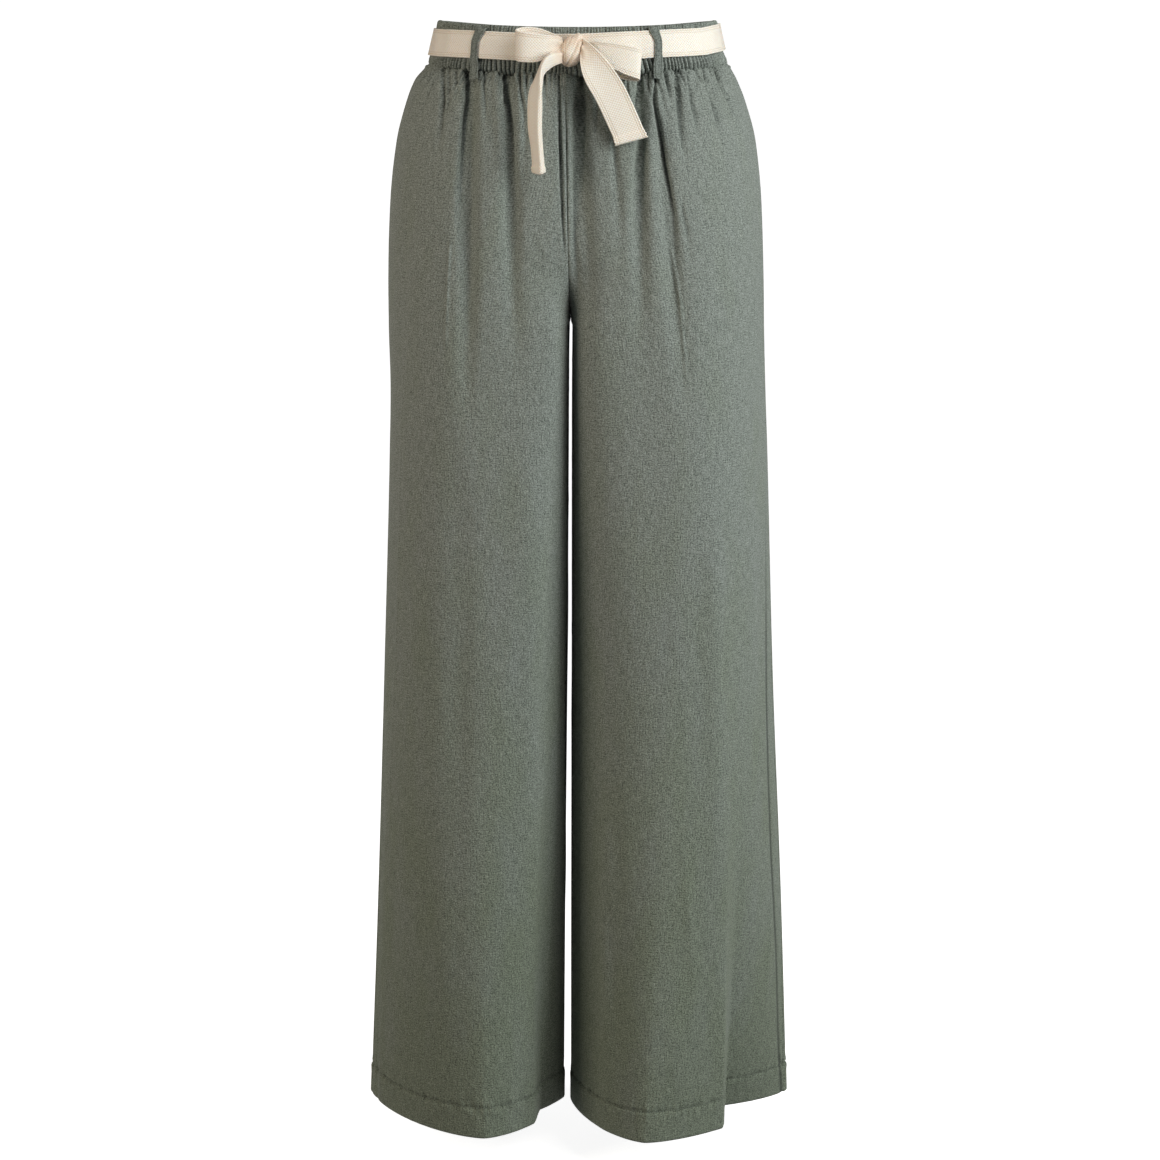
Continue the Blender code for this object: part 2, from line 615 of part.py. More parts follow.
def knot_solid(cloth):
    """Knot of the bow: a rounded block, flat enough for the loops to come out at its sides."""
    points = []
    for row in range(1, KNOT_SLICES):
        polar = np.pi * row / KNOT_SLICES
        for column in range(KNOT_SIDES):
            angle = 2.0 * np.pi * column / KNOT_SIDES
            direction = np.array((np.sin(polar) * np.cos(angle), np.sin(polar) * np.sin(angle), np.cos(polar)))
            size = np.sum(np.abs(direction) ** KNOT_POWER) ** (-1.0 / KNOT_POWER)
            points.append(np.array(KNOT_CENTRE) + direction * size * np.array(KNOT_HALF))
    points.append(np.array(KNOT_CENTRE) + np.array((0.0, 0.0, KNOT_HALF[2])))
    points.append(np.array(KNOT_CENTRE) - np.array((0.0, 0.0, KNOT_HALF[2])))
    top = len(points) - 2
    foot = len(points) - 1
    faces = []
    last = (KNOT_SLICES - 2) * KNOT_SIDES
    for column in range(KNOT_SIDES):
        after = (column + 1) % KNOT_SIDES
        faces.append((top, column, after))
        faces.append((foot, last + after, last + column))
        for a in range(0, last, KNOT_SIDES):
            faces.append((a + column, a + KNOT_SIDES + column, a + KNOT_SIDES + after, a + after))
    return solid("belt_knot", points, faces, cloth)


def main():
    for old in list(bpy.data.objects):
        bpy.data.objects.remove(old)
    linen = material("linen", LINEN_COLOUR)
    tape = material("woven_cotton_tape", TAPE_COLOUR)
    for panel in ("front_right", "front_left"):
        panel_solid(panel, FRONT_COLUMNS, linen)
    for panel in ("back_right", "back_left"):
        panel_solid(panel, BACK_COLUMNS, linen)
    waistband_solid(linen)
    for name, panel, x_top, x_foot in LOOPS:
        loop_solid(name, panel, x_top, x_foot, linen)
    belt_solid(tape)
    knot_solid(tape)
    for name in BOW_STATIONS:
        bow_piece(name, tape)


main()
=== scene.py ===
"""Linen drawstring trousers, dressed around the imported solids.

Lengths are in millimetres until a mesh is made. +Z is up, the front faces -Y and +X is the wearer's left.
Each cloth piece is a surface worked out on a grid, given a thin wall, and lies on the form of its solid.
"""

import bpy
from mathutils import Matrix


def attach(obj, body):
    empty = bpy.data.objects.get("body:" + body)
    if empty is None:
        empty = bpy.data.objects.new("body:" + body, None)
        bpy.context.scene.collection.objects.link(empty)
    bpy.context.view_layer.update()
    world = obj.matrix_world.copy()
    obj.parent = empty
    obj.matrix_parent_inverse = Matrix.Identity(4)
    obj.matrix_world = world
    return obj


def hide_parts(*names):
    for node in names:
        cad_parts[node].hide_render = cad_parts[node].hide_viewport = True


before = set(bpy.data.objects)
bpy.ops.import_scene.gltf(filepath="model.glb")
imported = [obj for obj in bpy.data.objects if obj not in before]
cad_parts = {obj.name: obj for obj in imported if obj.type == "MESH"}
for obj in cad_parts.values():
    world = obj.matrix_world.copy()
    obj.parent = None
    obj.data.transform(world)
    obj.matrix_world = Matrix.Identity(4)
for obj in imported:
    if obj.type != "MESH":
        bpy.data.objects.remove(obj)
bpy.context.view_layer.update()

import bmesh
import bpy
import numpy as np
from mathutils import Vector

MM = 0.001
# Starts of the pieces' cloth coordinates, which keep their grain apart
PANEL_UV_STEP = 500.0
BAND_UV_START = 3000.0
LOOP_UV_START = 5000.0

# ---------------------------------------------------------------- the cut and form of the trousers

BAND_TOP = 22.8
BAND_FOOT = -17.5
BAND_MIDDLE = 0.5 * (BAND_TOP + BAND_FOOT)
CROTCH = -252.0
LEG_FORM_TOP = -150.0
LEG_FORM_FOOT = -215.0
SEAM_BEND_POWER = 2.5  # how squarely the centre seam turns under to the crotch
HEM = -1031.0
HEM_TURN = 30.0
FRONT_DIP = 5.8
BACK_DIP = 9.5
DIP_END = -150.0
WAIST_HALF_WIDTH = 142.0
FRONT_CURVE_TOP = -160.0
BACK_CURVE_TOP = -135.0
SEAM_TUCK = 0.05
TUCK_TOP = -20.0
TUCK_FOOT = -70.0
GAP_OPENS = 4.0
CLOSED_GAP = 0.1  # the sewn seam's width

# Level sections: side seams, middle of the inner edges, gap between the legs, where each half comes forward
# most, how far it comes forward, the back, the side seam's depth and the roundness outside and inside.
SECTION_COLUMNS = ("z", "right", "left", "seam", "gap", "crown_right", "crown_left",
                   "front_right", "front_left", "back", "side", "power", "inner_power")
SECTIONS = np.array((
    (23, -129.6, 128.6, -11.8, 0.1, -32, 18, -92, -92, 92, 2, 2.2, 2.2),
    (2, -133.6, 131.4, -11.8, 0.1, -32, 18, -95, -95, 96, 2, 2.2, 2.2),
    (-18, -139.4, 139.6, -11.8, 0.1, -32, 18, -98, -98, 99, 2, 2.2, 2.2),
    (-33, -151.6, 147.8, -11.5, 0.1, -36, 20, -103, -103, 106, 3, 2.2, 2.2),
    (-55, -160.4, 156.6, -11.1, 0.1, -42, 24, -108, -108, 114, 4, 2.2, 2.2),
    (-90, -169.5, 166.0, -10.5, 0.1, -50, 30, -112, -112, 124, 5, 2.2, 2.2),
    (-145, -176.0, 172.0, -9.7, 0.1, -62, 42, -114, -114, 133, 7, 2.2, 2.2),
    (-200, -178.5, 174.5, -8.8, 0.1, -74, 58, -114, -114, 134, 9, 2.2, 2.2),
    (-232, -179.0, 175.4, -7.6, 0.1, -81, 67, -113.6, -113.6, 131.5, 9.6, 2.15, 4.4),
    (-262, -179.0, 176.0, -6.6, 3.0, -86, 72, -113, -113, 129, 10, 2.1, 5.6),
    (-318, -178.0, 177.8, -7.0, 3.0, -91, 79, -111, -111, 123, 11, 2.1, 4.8),
    (-382, -179.5, 180.5, -7.3, 3.0, -93, 84, -110, -110, 118, 12, 2.05, 3.8),
    (-577, -186.5, 187.5, -8.1, 3.8, -94, 84, -109, -110, 114, 14, 1.95, 2.4),
    (-818, -196.0, 199.0, -9.6, 5.4, -93, 76, -111, -116, 114, 18, 1.8, 1.85),
    (-1031, -206.0, 208.0, -10.5, 6.5, -90, 64, -114, -126, 116, 24, 1.52, 1.52),
), dtype=float)[::-1]

# Soft folds: x at the two heights, the heights, half width at both ends, depth (below 0 stands out).
FOLD_COLUMNS = ("x_top", "x_foot", "z_top", "z_foot", "width_top", "width_foot", "depth")
FOLDS = {
    "front_right": (
        (-120, -120, 20, -70, 5, 6, 2.5), (-98, -102, 0, -380, 6, 9, 9.0), (-82, -82, 20, -62, 4, 5, 2.5),
        (-65, -57, 0, -330, 6, 9, 7.5), (-19, -12, 0, -185, 3, 4, 1.0), (-112, -106, -330, -900, 16, 16, 3.0),
        (-44, -44, -330, -960, 12, 12, -3.0),
    ),
    "front_left": (
        (-1, 12, 0, -310, 7, 9, 6.5), (58, 57, 0, -310, 5, 8, 7.0), (70, 104, -45, -370, 7, 10, 6.0),
        (90, 95, 0, -90, 4, 5, 2.5), (103, 110, 20, -62, 4, 5, 2.5), (118, 130, 20, -75, 4, 5, 2.5),
        (126, 136, -380, -960, 11, 11, -3.5), (28, 26, -700, -1100, 7, 7, -3.0),
    ),
    "back_right": (
        (-108, -112, 0, -330, 8, 9, 5.0), (-66, -60, 0, -250, 7, 8, 5.5), (-28, -24, 0, -150, 5, 6, 3.5),
        (-100, -96, -420, -980, 15, 15, -3.5), (-50, -46, -300, -820, 13, 13, 3.5),
    ),
    "back_left": (
        (20, 14, 0, -170, 5, 6, 4.0), (52, 46, 0, -280, 7, 8, 5.0), (88, 98, 0, -340, 8, 9, 5.5),
        (116, 122, -460, -990, 13, 13, -4.0), (70, 66, -350, -880, 14, 14, 3.5),
    ),
}
FOLD_FADE_IN = 0.2
FOLD_FADE_OUT = 0.6

# Creases listed as lines of points over each panel: x, z, half width and depth (below 0 stands out).
CREASES = {
    "front_right": (
        ((-123.5, -12, 1.5, 2.2), (-123, -49, 1.7, 2.5), (-125, -72, 2.4, 1.7), (-128, -105, 4.0, 0.0)),
        ((-114, -12, 1.2, 1.7), (-111, -30, 1.4, 1.4), (-110.5, -44, 2.0, 0.0)),
        ((-118, -12, 1.2, 1.3), (-118, -40, 1.5, 1.2), (-118, -62, 2.5, 0.0)),
        ((-104.5, -12, 1.7, 2.6), (-99.5, -28, 1.9, 3.6), (-99.5, -48, 2.1, 4.0), (-102, -66, 2.6, 3.6),
         (-104, -95, 3.2, 3.0), (-105.5, -125, 4.2, 2.3), (-106, -155, 5.5, 1.5), (-104, -210, 7.0, 0.0)),
        ((-85.5, -12, 1.3, 2.0), (-85, -40, 1.6, 1.6), (-84, -60, 2.2, 1.0), (-84, -90, 3.0, 0.0)),
        ((-80, -24, 4.0, 0.4), (-79, -55, 5.0, 1.8), (-77, -85, 5.5, 1.8), (-76, -120, 6.0, 0.0)),
        ((-70.5, -12, 1.2, 1.7), (-69.5, -34, 1.5, 1.1), (-69, -47, 2.0, 0.0)),
        ((-65.5, -12, 1.4, 2.4), (-65, -40, 1.7, 3.0), (-63, -55, 2.1, 3.0), (-61, -78, 2.7, 2.6),
         (-60, -105, 3.5, 2.1), (-58, -140, 5.0, 1.5), (-56, -205, 7.0, 0.0)),
        ((-60, -12, 1.1, 1.6), (-58.7, -40, 1.5, 1.3), (-56.5, -60, 2.4, 0.0)),
        ((-54.2, -12, 1.2, 1.8), (-52, -40, 1.7, 1.8), (-48.5, -58, 2.3, 1.6), (-47.5, -85, 3.3, 1.2),
         (-50, -120, 5.0, 0.8), (-52, -165, 6.0, 0.0)),
        ((-48, -12, 1.1, 1.5), (-46, -44, 1.7, 1.0), (-45, -60, 2.4, 0.0)),
        ((-41, -12, 1.1, 1.4), (-38.5, -40, 1.7, 0.9), (-37, -56, 2.4, 0.0)),
        ((-31, -12, 1.1, 1.4), (-29, -45, 1.7, 0.9), (-28, -66, 2.5, 0.0)),
        ((-17.4, -12, 1.1, 2.0), (-16.9, -57, 1.1, 2.4), (-15.9, -85, 1.15, 2.4), (-14.9, -120, 1.2, 2.2),
         (-13.8, -150, 1.3, 1.8), (-12.4, -178, 1.4, 1.1), (-12, -200, 1.5, 0.0)),
        ((-116.5, -168, 1.3, 0.0), (-117, -186, 1.2, -0.9), (-118.5, -215, 1.2, -0.9),
         (-120.5, -255, 1.2, -0.7), (-121, -280, 1.3, 0.0)),
        ((-150, -90, 4.0, 0.0), (-158, -150, 5.0, 1.2), (-164, -260, 6.0, 1.2), (-166, -380, 7.0, 0.0)),
    ),
    "front_left": (
        ((2, -12, 4.2, 3.0), (2, -48, 5.0, 4.4), (1, -75, 5.4, 4.8), (-0.4, -102, 5.4, 4.4),
         (-1.2, -137, 5.0, 3.6), (-2.5, -174, 4.0, 3.0), (-1.5, -205, 4.5, 2.2), (0, -260, 5.5, 0.0)),
        ((10, -12, 1.1, 1.5), (10, -45, 1.5, 1.0), (10, -62, 2.0, 0.0)),
        ((17.5, -12, 1.2, 1.4), (17.2, -60, 2.6, 1.3), (16.5, -92, 3.6, 0.0)),
        ((25, -12, 1.1, 1.5), (25.5, -45, 1.7, 1.1), (26, -70, 2.4, 0.0)),
        ((34, -12, 1.2, 1.2), (33, -60, 2.2, 1.0), (32.8, -83, 2.7, 1.9), (33.5, -101, 3.2, 2.1),
         (35.5, -124, 4.0, 1.8), (37, -150, 5.0, 1.4), (39, -205, 7.0, 0.0)),
        ((45, -12, 1.1, 1.5), (44.5, -40, 1.6, 1.1), (44, -62, 2.4, 0.0)),
        ((56.5, -12, 1.3, 2.2), (56.3, -38, 1.6, 2.6), (54.5, -53, 2.1, 2.4), (54, -72, 2.9, 2.2),
         (57.5, -88, 3.4, 2.8), (56, -102, 3.9, 3.0), (54.5, -124, 4.8, 2.6), (52.8, -151, 6.0, 1.9),
         (51, -210, 8.0, 0.0)),
        ((61.8, -12, 1.1, 1.7), (62.5, -34, 1.5, 1.1), (63, -46, 2.0, 0.0)),
        ((71.5, -12, 1.2, 1.8), (70.5, -32, 1.4, 2.2), (68.9, -48, 1.7, 2.8), (72.4, -66, 1.9, 3.2),
         (75.2, -84, 2.0, 3.2), (78, -106, 2.1, 3.0), (82.5, -129, 2.1, 2.5), (86.3, -151, 2.7, 1.7),
         (87.5, -183, 4.0, 1.0), (88, -235, 5.0, 0.0)),
        ((77.5, -12, 1.2, 1.8), (81.5, -34, 1.5, 1.8), (83.5, -45, 2.0, 1.1), (84.5, -58, 2.4, 0.0)),
        ((88.5, -12, 1.3, 2.2), (90.8, -40, 1.6, 2.2), (91.8, -58, 2.1, 2.1), (93.5, -80, 2.5, 1.7),
         (96.5, -96, 3.0, 0.9), (98, -114, 3.0, 0.0)),
        ((94, -130, 2.5, 0.0), (95.5, -149, 2.1, 1.2), (99, -165, 2.1, 1.2), (102, -183, 3.0, 0.6),
         (104, -207, 3.0, 0.0)),
        ((99, -12, 1.3, 2.0), (102.8, -42, 1.7, 1.7), (107.3, -67, 2.5, 1.3), (112, -92, 3.6, 0.0)),
        ((114.5, -12, 1.2, 2.0), (118.7, -36, 1.4, 2.4), (123.3, -49, 1.7, 2.4), (127, -65, 2.1, 2.0),
         (129.7, -78, 2.7, 1.1), (132, -97, 3.0, 0.0)),
        ((122.5, -12, 1.2, 2.0), (133, -39, 1.5, 2.4), (140.5, -53, 1.9, 2.2), (145, -70, 2.5, 1.5),
         (148, -97, 3.4, 0.0)),
        ((84, -172, 1.3, 0.0), (85.6, -186, 1.3, -0.8), (93, -228, 1.4, -0.9), (97, -274, 1.4, -0.7),
         (101, -315, 1.4, 0.0)),
        ((76, -554, 1.2, 0.0), (80, -555.5, 1.2, 0.9), (95, -559, 1.3, 1.0), (113, -562, 1.2, 0.8),
         (119, -562.5, 1.2, 0.0)),
    ),
    "back_right": (
        ((-120, -12, 1.4, 2.2), (-121, -50, 1.8, 2.2), (-124, -95, 3.6, 0.0)),
        ((-109, -12, 1.3, 2.2), (-108, -40, 1.9, 3.2), (-109, -80, 2.8, 2.6), (-111, -130, 4.4, 1.8),
         (-112, -200, 6.5, 0.0)),
        ((-96, -12, 1.2, 1.8), (-95, -44, 1.6, 1.4), (-95, -70, 2.4, 0.0)),
        ((-86, -12, 1.2, 1.7), (-85, -50, 1.8, 1.7), (-84, -100, 3.6, 0.0)),
        ((-67, -12, 1.3, 2.3), (-66, -45, 1.8, 3.0), (-64, -90, 3.0, 2.4), (-62, -140, 5.0, 1.4),
         (-60, -200, 7.0, 0.0)),
        ((-55, -12, 1.1, 1.6), (-54, -45, 1.6, 1.3), (-53, -70, 2.4, 0.0)),
        ((-43, -12, 1.2, 1.7), (-42, -55, 2.2, 1.6), (-41, -110, 4.0, 0.0)),
        ((-27, -12, 1.3, 2.0), (-27, -60, 2.4, 2.4), (-26, -110, 4.0, 1.4), (-25, -160, 5.0, 0.0)),
    ),
    "back_left": (
        ((-3, -12, 1.2, 1.8), (-3, -50, 1.8, 1.6), (-4, -90, 3.4, 0.0)),
        ((19, -12, 1.3, 2.2), (18, -60, 2.6, 2.8), (16, -110, 4.2, 1.6), (15, -165, 5.0, 0.0)),
        ((34, -12, 1.1, 1.6), (34, -48, 1.7, 1.2), (33, -75, 2.6, 0.0)),
        ((51, -12, 1.3, 2.4), (50, -45, 1.8, 3.2), (49, -95, 3.0, 2.4), (47, -150, 5.0, 1.4),
         (46, -215, 7.0, 0.0)),
        ((63, -12, 1.2, 1.7), (63, -50, 1.8, 1.5), (64, -85, 3.0, 0.0)),
        ((88, -12, 1.3, 2.4), (90, -48, 1.9, 3.2), (93, -95, 3.0, 2.6), (95, -150, 4.6, 1.6),
         (97, -220, 6.5, 0.0)),
        ((101, -12, 1.2, 1.8), (103, -45, 1.7, 1.6), (106, -80, 3.0, 0.0)),
        ((116, -12, 1.3, 2.1), (120, -46, 1.8, 2.2), (127, -90, 3.4, 0.0)),
    ),
}

# Hem flutes: the cloth beyond the edge drops back. Edge, the side it runs to, start, drop, softness, taper.
FLUTES = {
    "front_left": (139, "side", -480, 62, 26, 5, 0.6),
    "front_right": (-43, "inseam", -480, 33, 20, 6, 0.4),
    "back_left": (40, "inseam", -520, 26, 22, 8, 0.5),
    "back_right": (-150, "side", -520, 34, 24, 7, 0.6),
}
FLUTE_GROWTH = 3
CURVE_SAMPLES = 420
EDGE_SAMPLES = 17

PANELS = ("front_right", "front_left", "back_right", "back_left")
PANEL_COLUMNS = {"front_right": 268, "front_left": 268, "back_right": 216, "back_left": 216}
LINEN_WALL = 0.9
INNER_PACE = 0.35
HEM_WALL = 2.0


def soft_step(value):
    """0 below 0, 1 above 1, and 3 t^2 - 2 t^3 between them."""
    share = np.clip(value, 0.0, 1.0)
    return share * share * (3.0 - 2.0 * share)


def bell(distance, half):
    """Gaussian of a distance: 1 in the middle and 1 / e at the half width."""
    return np.exp(-(distance / half) ** 2)


def swell(distance, form):
    """Height of a rounded form at a distance from its line, the form being its height and half width."""
    height, half = form
    return height * bell(distance, half)


def unit(vectors):
    """Vectors over their own lengths."""
    return vectors / np.maximum(np.linalg.norm(vectors, axis=-1, keepdims=True), 1e-9)


def run_along(line):
    """Length along a line up to each of its points."""
    return np.concatenate(([0.0], np.cumsum(np.linalg.norm(np.diff(line, axis=0), axis=1))))


def read_along(places, run, values):
    """Three-column values of a line, read between its points at some lengths along it."""
    return np.stack([np.interp(places, run, values[:, k]) for k in range(3)], axis=1)


def sides_of(panel):
    """-1 or +1 for the wearer's right or left, and -1 or +1 for the front or the back."""
    return (1 if panel.endswith("left") else -1), (1 if panel.startswith("back") else -1)


def section(column, z):
    """A section column at heights z: cubic between its rows, with harmonic mean slopes against overshoot."""
    heights = SECTIONS[:, 0]
    values = SECTIONS[:, SECTION_COLUMNS.index(column)]
    rise = np.diff(values) / np.diff(heights)
    same = rise[:-1] * rise[1:] > 0.0
    total = np.where(same, rise[:-1] + rise[1:], 1.0)
    slopes = np.concatenate(([rise[0]], np.where(same, 2.0 * rise[:-1] * rise[1:] / total, 0.0), [rise[-1]]))
    at = np.clip(np.searchsorted(heights, z) - 1, 0, len(heights) - 2)
    span = heights[at + 1] - heights[at]
    t = np.clip((z - heights[at]) / span, 0.0, 1.0)
    return ((2 * t**3 - 3 * t**2 + 1) * values[at] + (t**3 - 2 * t**2 + t) * span * slopes[at]
            + (3 * t**2 - 2 * t**3) * values[at + 1] + (t**3 - t**2) * span * slopes[at + 1])


def centre_depth(panel, z, crown_depth):
    """y of the inner edge: the crown's depth times a quarter superellipse that ends at 0 at the crotch."""
    face = sides_of(panel)[1]
    curve_top = BACK_CURVE_TOP if face > 0 else FRONT_CURVE_TOP
    bend = np.clip((curve_top - z) / (curve_top - CROTCH), 0.0, 1.0)
    tuck = SEAM_TUCK * soft_step((TUCK_TOP - z) / (TUCK_TOP - TUCK_FOOT))
    depth = crown_depth * (1.0 - bend**SEAM_BEND_POWER) ** (1.0 / SEAM_BEND_POWER) * (1.0 - tuck)
    return np.where(z <= CROTCH, depth + face * 0.5 * CLOSED_GAP, depth)


def fold_offset(panel, x, z):
    """Sum of Gaussian troughs along the lines of FOLDS, each fading at its ends."""
    total = np.zeros_like(x)
    for row in FOLDS[panel]:
        fold = dict(zip(FOLD_COLUMNS, row))
        share = (fold["z_top"] - z) / (fold["z_top"] - fold["z_foot"])
        middle = fold["x_top"] + share * (fold["x_foot"] - fold["x_top"])
        width = fold["width_top"] + np.clip(share, 0, 1) * (fold["width_foot"] - fold["width_top"])
        fade = soft_step((1.0 - share) / FOLD_FADE_OUT) * (share > 0.0)
        if fold["z_top"] < 0:
            fade = fade * soft_step(share / FOLD_FADE_IN)
        total -= fold["depth"] * fade * bell(x - middle, width)
    return total


def flute_shift(panel, x, z):
    """How far the cloth beyond a flute's edge drops back: the drop times the cube of the way to the hem."""
    edge, towards, start, drop, soft_top, soft_foot, taper = FLUTES[panel]
    side = sides_of(panel)[0]
    share = np.clip((start - z) / (start - HEM), 0.0, 1.0)
    if towards == "side":
        end = section("left" if side > 0 else "right", z)
    else:
        end = section("seam", z) + side * 0.5 * section("gap", z)
    beyond = (x - edge) / (end - edge)
    soft = soft_top + share * (soft_foot - soft_top)
    step = soft_step(np.abs(x - edge) / soft) * (beyond > 0.0)
    return drop * share**FLUTE_GROWTH * step * np.clip(1.0 - beyond, 0.0, 1.0) ** taper


def section_curves(panel, heights, folded=True):
    """Plan curves of a panel, one a height: two superellipse quarters, from the side seam over the crown.

    Towards the crotch the inner one passes into the leg's own quarter, cut off at the seam's depth.
    """
    side, face = sides_of(panel)
    z = np.asarray(heights, dtype=float)[:, None]
    outer_x = section("left" if side > 0 else "right", z)
    crown_x = section("crown_left" if side > 0 else "crown_right", z)
    crown_y = section("back" if face > 0 else ("front_left" if side > 0 else "front_right"), z)
    opened = soft_step((CROTCH - z) / GAP_OPENS)
    inner_x = section("seam", z) + side * 0.5 * (CLOSED_GAP + (section("gap", z) - CLOSED_GAP) * opened)
    side_y = section("side", z)
    inner_y = centre_depth(panel, z, crown_y)
    turn = np.linspace(0.0, 0.5 * np.pi, CURVE_SAMPLES)[None, :]
    sine, cosine = np.sin(turn), np.sin(turn[:, ::-1])
    outer_power, inner_power = 2.0 / section("power", z), 2.0 / section("inner_power", z)
    outer = np.stack((crown_x + (outer_x - crown_x) * cosine**outer_power,
                      side_y + (crown_y - side_y) * sine**outer_power), axis=2)
    inner = np.stack((crown_x + (inner_x - crown_x) * sine**inner_power,
                      inner_y + (crown_y - inner_y) * cosine**inner_power), axis=2)
    reached = np.arccos(np.clip(inner_y / crown_y, 0.0, 0.999) ** (1.0 / inner_power))
    part = reached * turn / (0.5 * np.pi)
    cut = np.stack((crown_x + (inner_x - crown_x) * (np.sin(part) / np.sin(reached)) ** inner_power,
                    crown_y * np.clip(np.cos(part), 0.0, 1.0) ** inner_power), axis=2)
    leg_like = soft_step((LEG_FORM_TOP - z) / (LEG_FORM_TOP - LEG_FORM_FOOT)) * (z > CROTCH)
    inner += leg_like[:, :, None] * (cut - inner)
    curve = np.concatenate((outer, inner[:, 1:]), axis=1)
    if folded:
        along = unit(np.gradient(curve, axis=1))
        outward = side * face * np.stack((along[:, :, 1], -along[:, :, 0]), axis=2)
        away = np.minimum(np.arange(curve.shape[1]) / (2 * EDGE_SAMPLES), 1.0)
        offset = fold_offset(panel, curve[:, :, 0], z) * away * away[::-1]
        shift = flute_shift(panel, curve[:, :, 0], z)
        curve = curve + outward * offset[:, :, None]
        curve[:, :, 1] -= face * shift
    curve[:, 0, 1] += face * 0.5 * CLOSED_GAP
    return curve


def even_rows(curves, count, inner_pace=1.0):
    """count + 1 even points a row, each with its length from the start, and every row's whole length.

    A pace below 1 lets y count for less past CURVE_SAMPLES, so a leg's long inner side gets fewer points.
    """
    way = np.diff(curves, axis=1)
    length = np.pad(np.cumsum(np.linalg.norm(way, axis=2), axis=1), ((0, 0), (1, 0)))
    way[:, CURVE_SAMPLES:, 1] *= inner_pace
    paced = np.pad(np.cumsum(np.linalg.norm(way, axis=2), axis=1), ((0, 0), (1, 0)))
    lift = 2.0 * np.arange(len(curves))[:, None]
    known = (paced / paced[:, -1:] + lift).ravel()
    wanted = (np.linspace(0.0, 1.0, count + 1)[None, :] + lift).ravel()
    columns = [curves[:, :, k] for k in range(curves.shape[2])] + [length]
    points = [np.interp(wanted, known, column.ravel()) for column in columns]
    return np.stack(points, axis=1).reshape(len(curves), count + 1, -1), length[:, -1]


def dip(x, z, face):
    """Drop of the waist between the sides: a parabola across, fading out down the hips."""
    depth = BACK_DIP if face > 0 else FRONT_DIP
    fade = soft_step((z - DIP_END) / (BAND_FOOT - DIP_END))
    return depth * fade * (1.0 - np.clip(x / WAIST_HALF_WIDTH, -1.0, 1.0) ** 2)


CREASE_FOOT = -950.0
PANEL_SPREAD = 360.0  # about how wide a panel lies unfolded


def waves(u, z, seed, count, lengths, slant, rise):
    """Sum of sines of two variables with seeded lengths, slants and phases: an even, natural unevenness."""
    draw = np.random.default_rng(seed)
    total = np.zeros(np.broadcast(u, z).shape)
    for _ in range(count):
        length = draw.uniform(*lengths)
        angle = draw.uniform(-slant, slant)
        phase = draw.uniform(0.0, 2.0 * np.pi)
        total += np.sin(2.0 * np.pi * (u * np.cos(angle) + z * np.sin(angle)) / length + phase)
    return rise * total / np.sqrt(count)


def creases(u, z, number, seed, count, reach, width, rise, z_top):
    """Seeded soft ridges and troughs down the cloth: a Gaussian across, a half sine's square along."""
    draw = np.random.default_rng(seed + number)
    total = np.zeros_like(u)
    for _ in range(count):
        start = draw.uniform(CREASE_FOOT, z_top)
        length = draw.uniform(*reach)
        middle = draw.uniform(0.0, PANEL_SPREAD) + draw.uniform(-0.05, 0.05) * (start - z)
        middle = middle + draw.uniform(1.0, 4.0) * np.sin(z / draw.uniform(35.0, 90.0))
        share = np.clip((start - z) / length, 0.0, 1.0)
        total += draw.uniform(-1.0, 1.0) * np.sin(np.pi * share) ** 2 * bell(u - middle, draw.uniform(*width))
    return rise * total


CREASE_GAIN = 1.25
NARROW_GAIN = 0.75  # mm


def crease_relief(panel, x, z):
    """Creases of CREASES: depth times a Gaussian of the distance to the line, narrow ones deepened most."""
    total = np.zeros_like(x)
    for rows in CREASES[panel]:
        deepest = np.zeros_like(x)
        for start, end in zip(np.array(rows)[:-1], np.array(rows)[1:]):
            way = end[:2] - start[:2]
            share = np.clip(((x - start[0]) * way[0] + (z - start[1]) * way[1]) / (way @ way), 0.0, 1.0)
            away = np.hypot(x - start[0] - share * way[0], z - start[1] - share * way[1])
            width, depth = (start[k] + share * (end[k] - start[k]) for k in (2, 3))
            here = depth * (CREASE_GAIN + NARROW_GAIN / width) * bell(away, width)
            deepest = np.where(np.abs(here) > np.abs(deepest), here, deepest)
        total -= deepest
    return total


def gathers(share, below, width, seed, count):
    """Puckers under the waistband: seeded narrow ridges and troughs that spread and fade down the cloth."""
    draw = np.random.default_rng(seed)
    total = np.zeros_like(share)
    for k in range(count):
        middle = (k + 0.5 + draw.uniform(-0.32, 0.32)) / count
        reach = draw.uniform(14.0, 40.0) * (2.1 if k % 5 == 2 else 1.0)
        half = draw.uniform(1.0, 1.6) * (1.0 + np.clip(below / reach, 0.0, 1.5))
        lean = draw.uniform(-0.05, 0.05) * below / width
        depth = draw.uniform(1.2, 2.8)
        fade = (1.0 - soft_step(below / reach)) * soft_step((below + 1.0) / 2.0)
        total -= depth * fade * bell((share - middle) * width - lean * width, half)
    return total


# ---------------------------------------------------------------- meshes

# Painted crease shade: how many mm below the row's local mean it starts and where it is full
PAINTED_SHADE_FROM = 0.25
PAINTED_SHADE_FULL = 2.2
PANEL_REACH = 4
BAND_REACH = 5


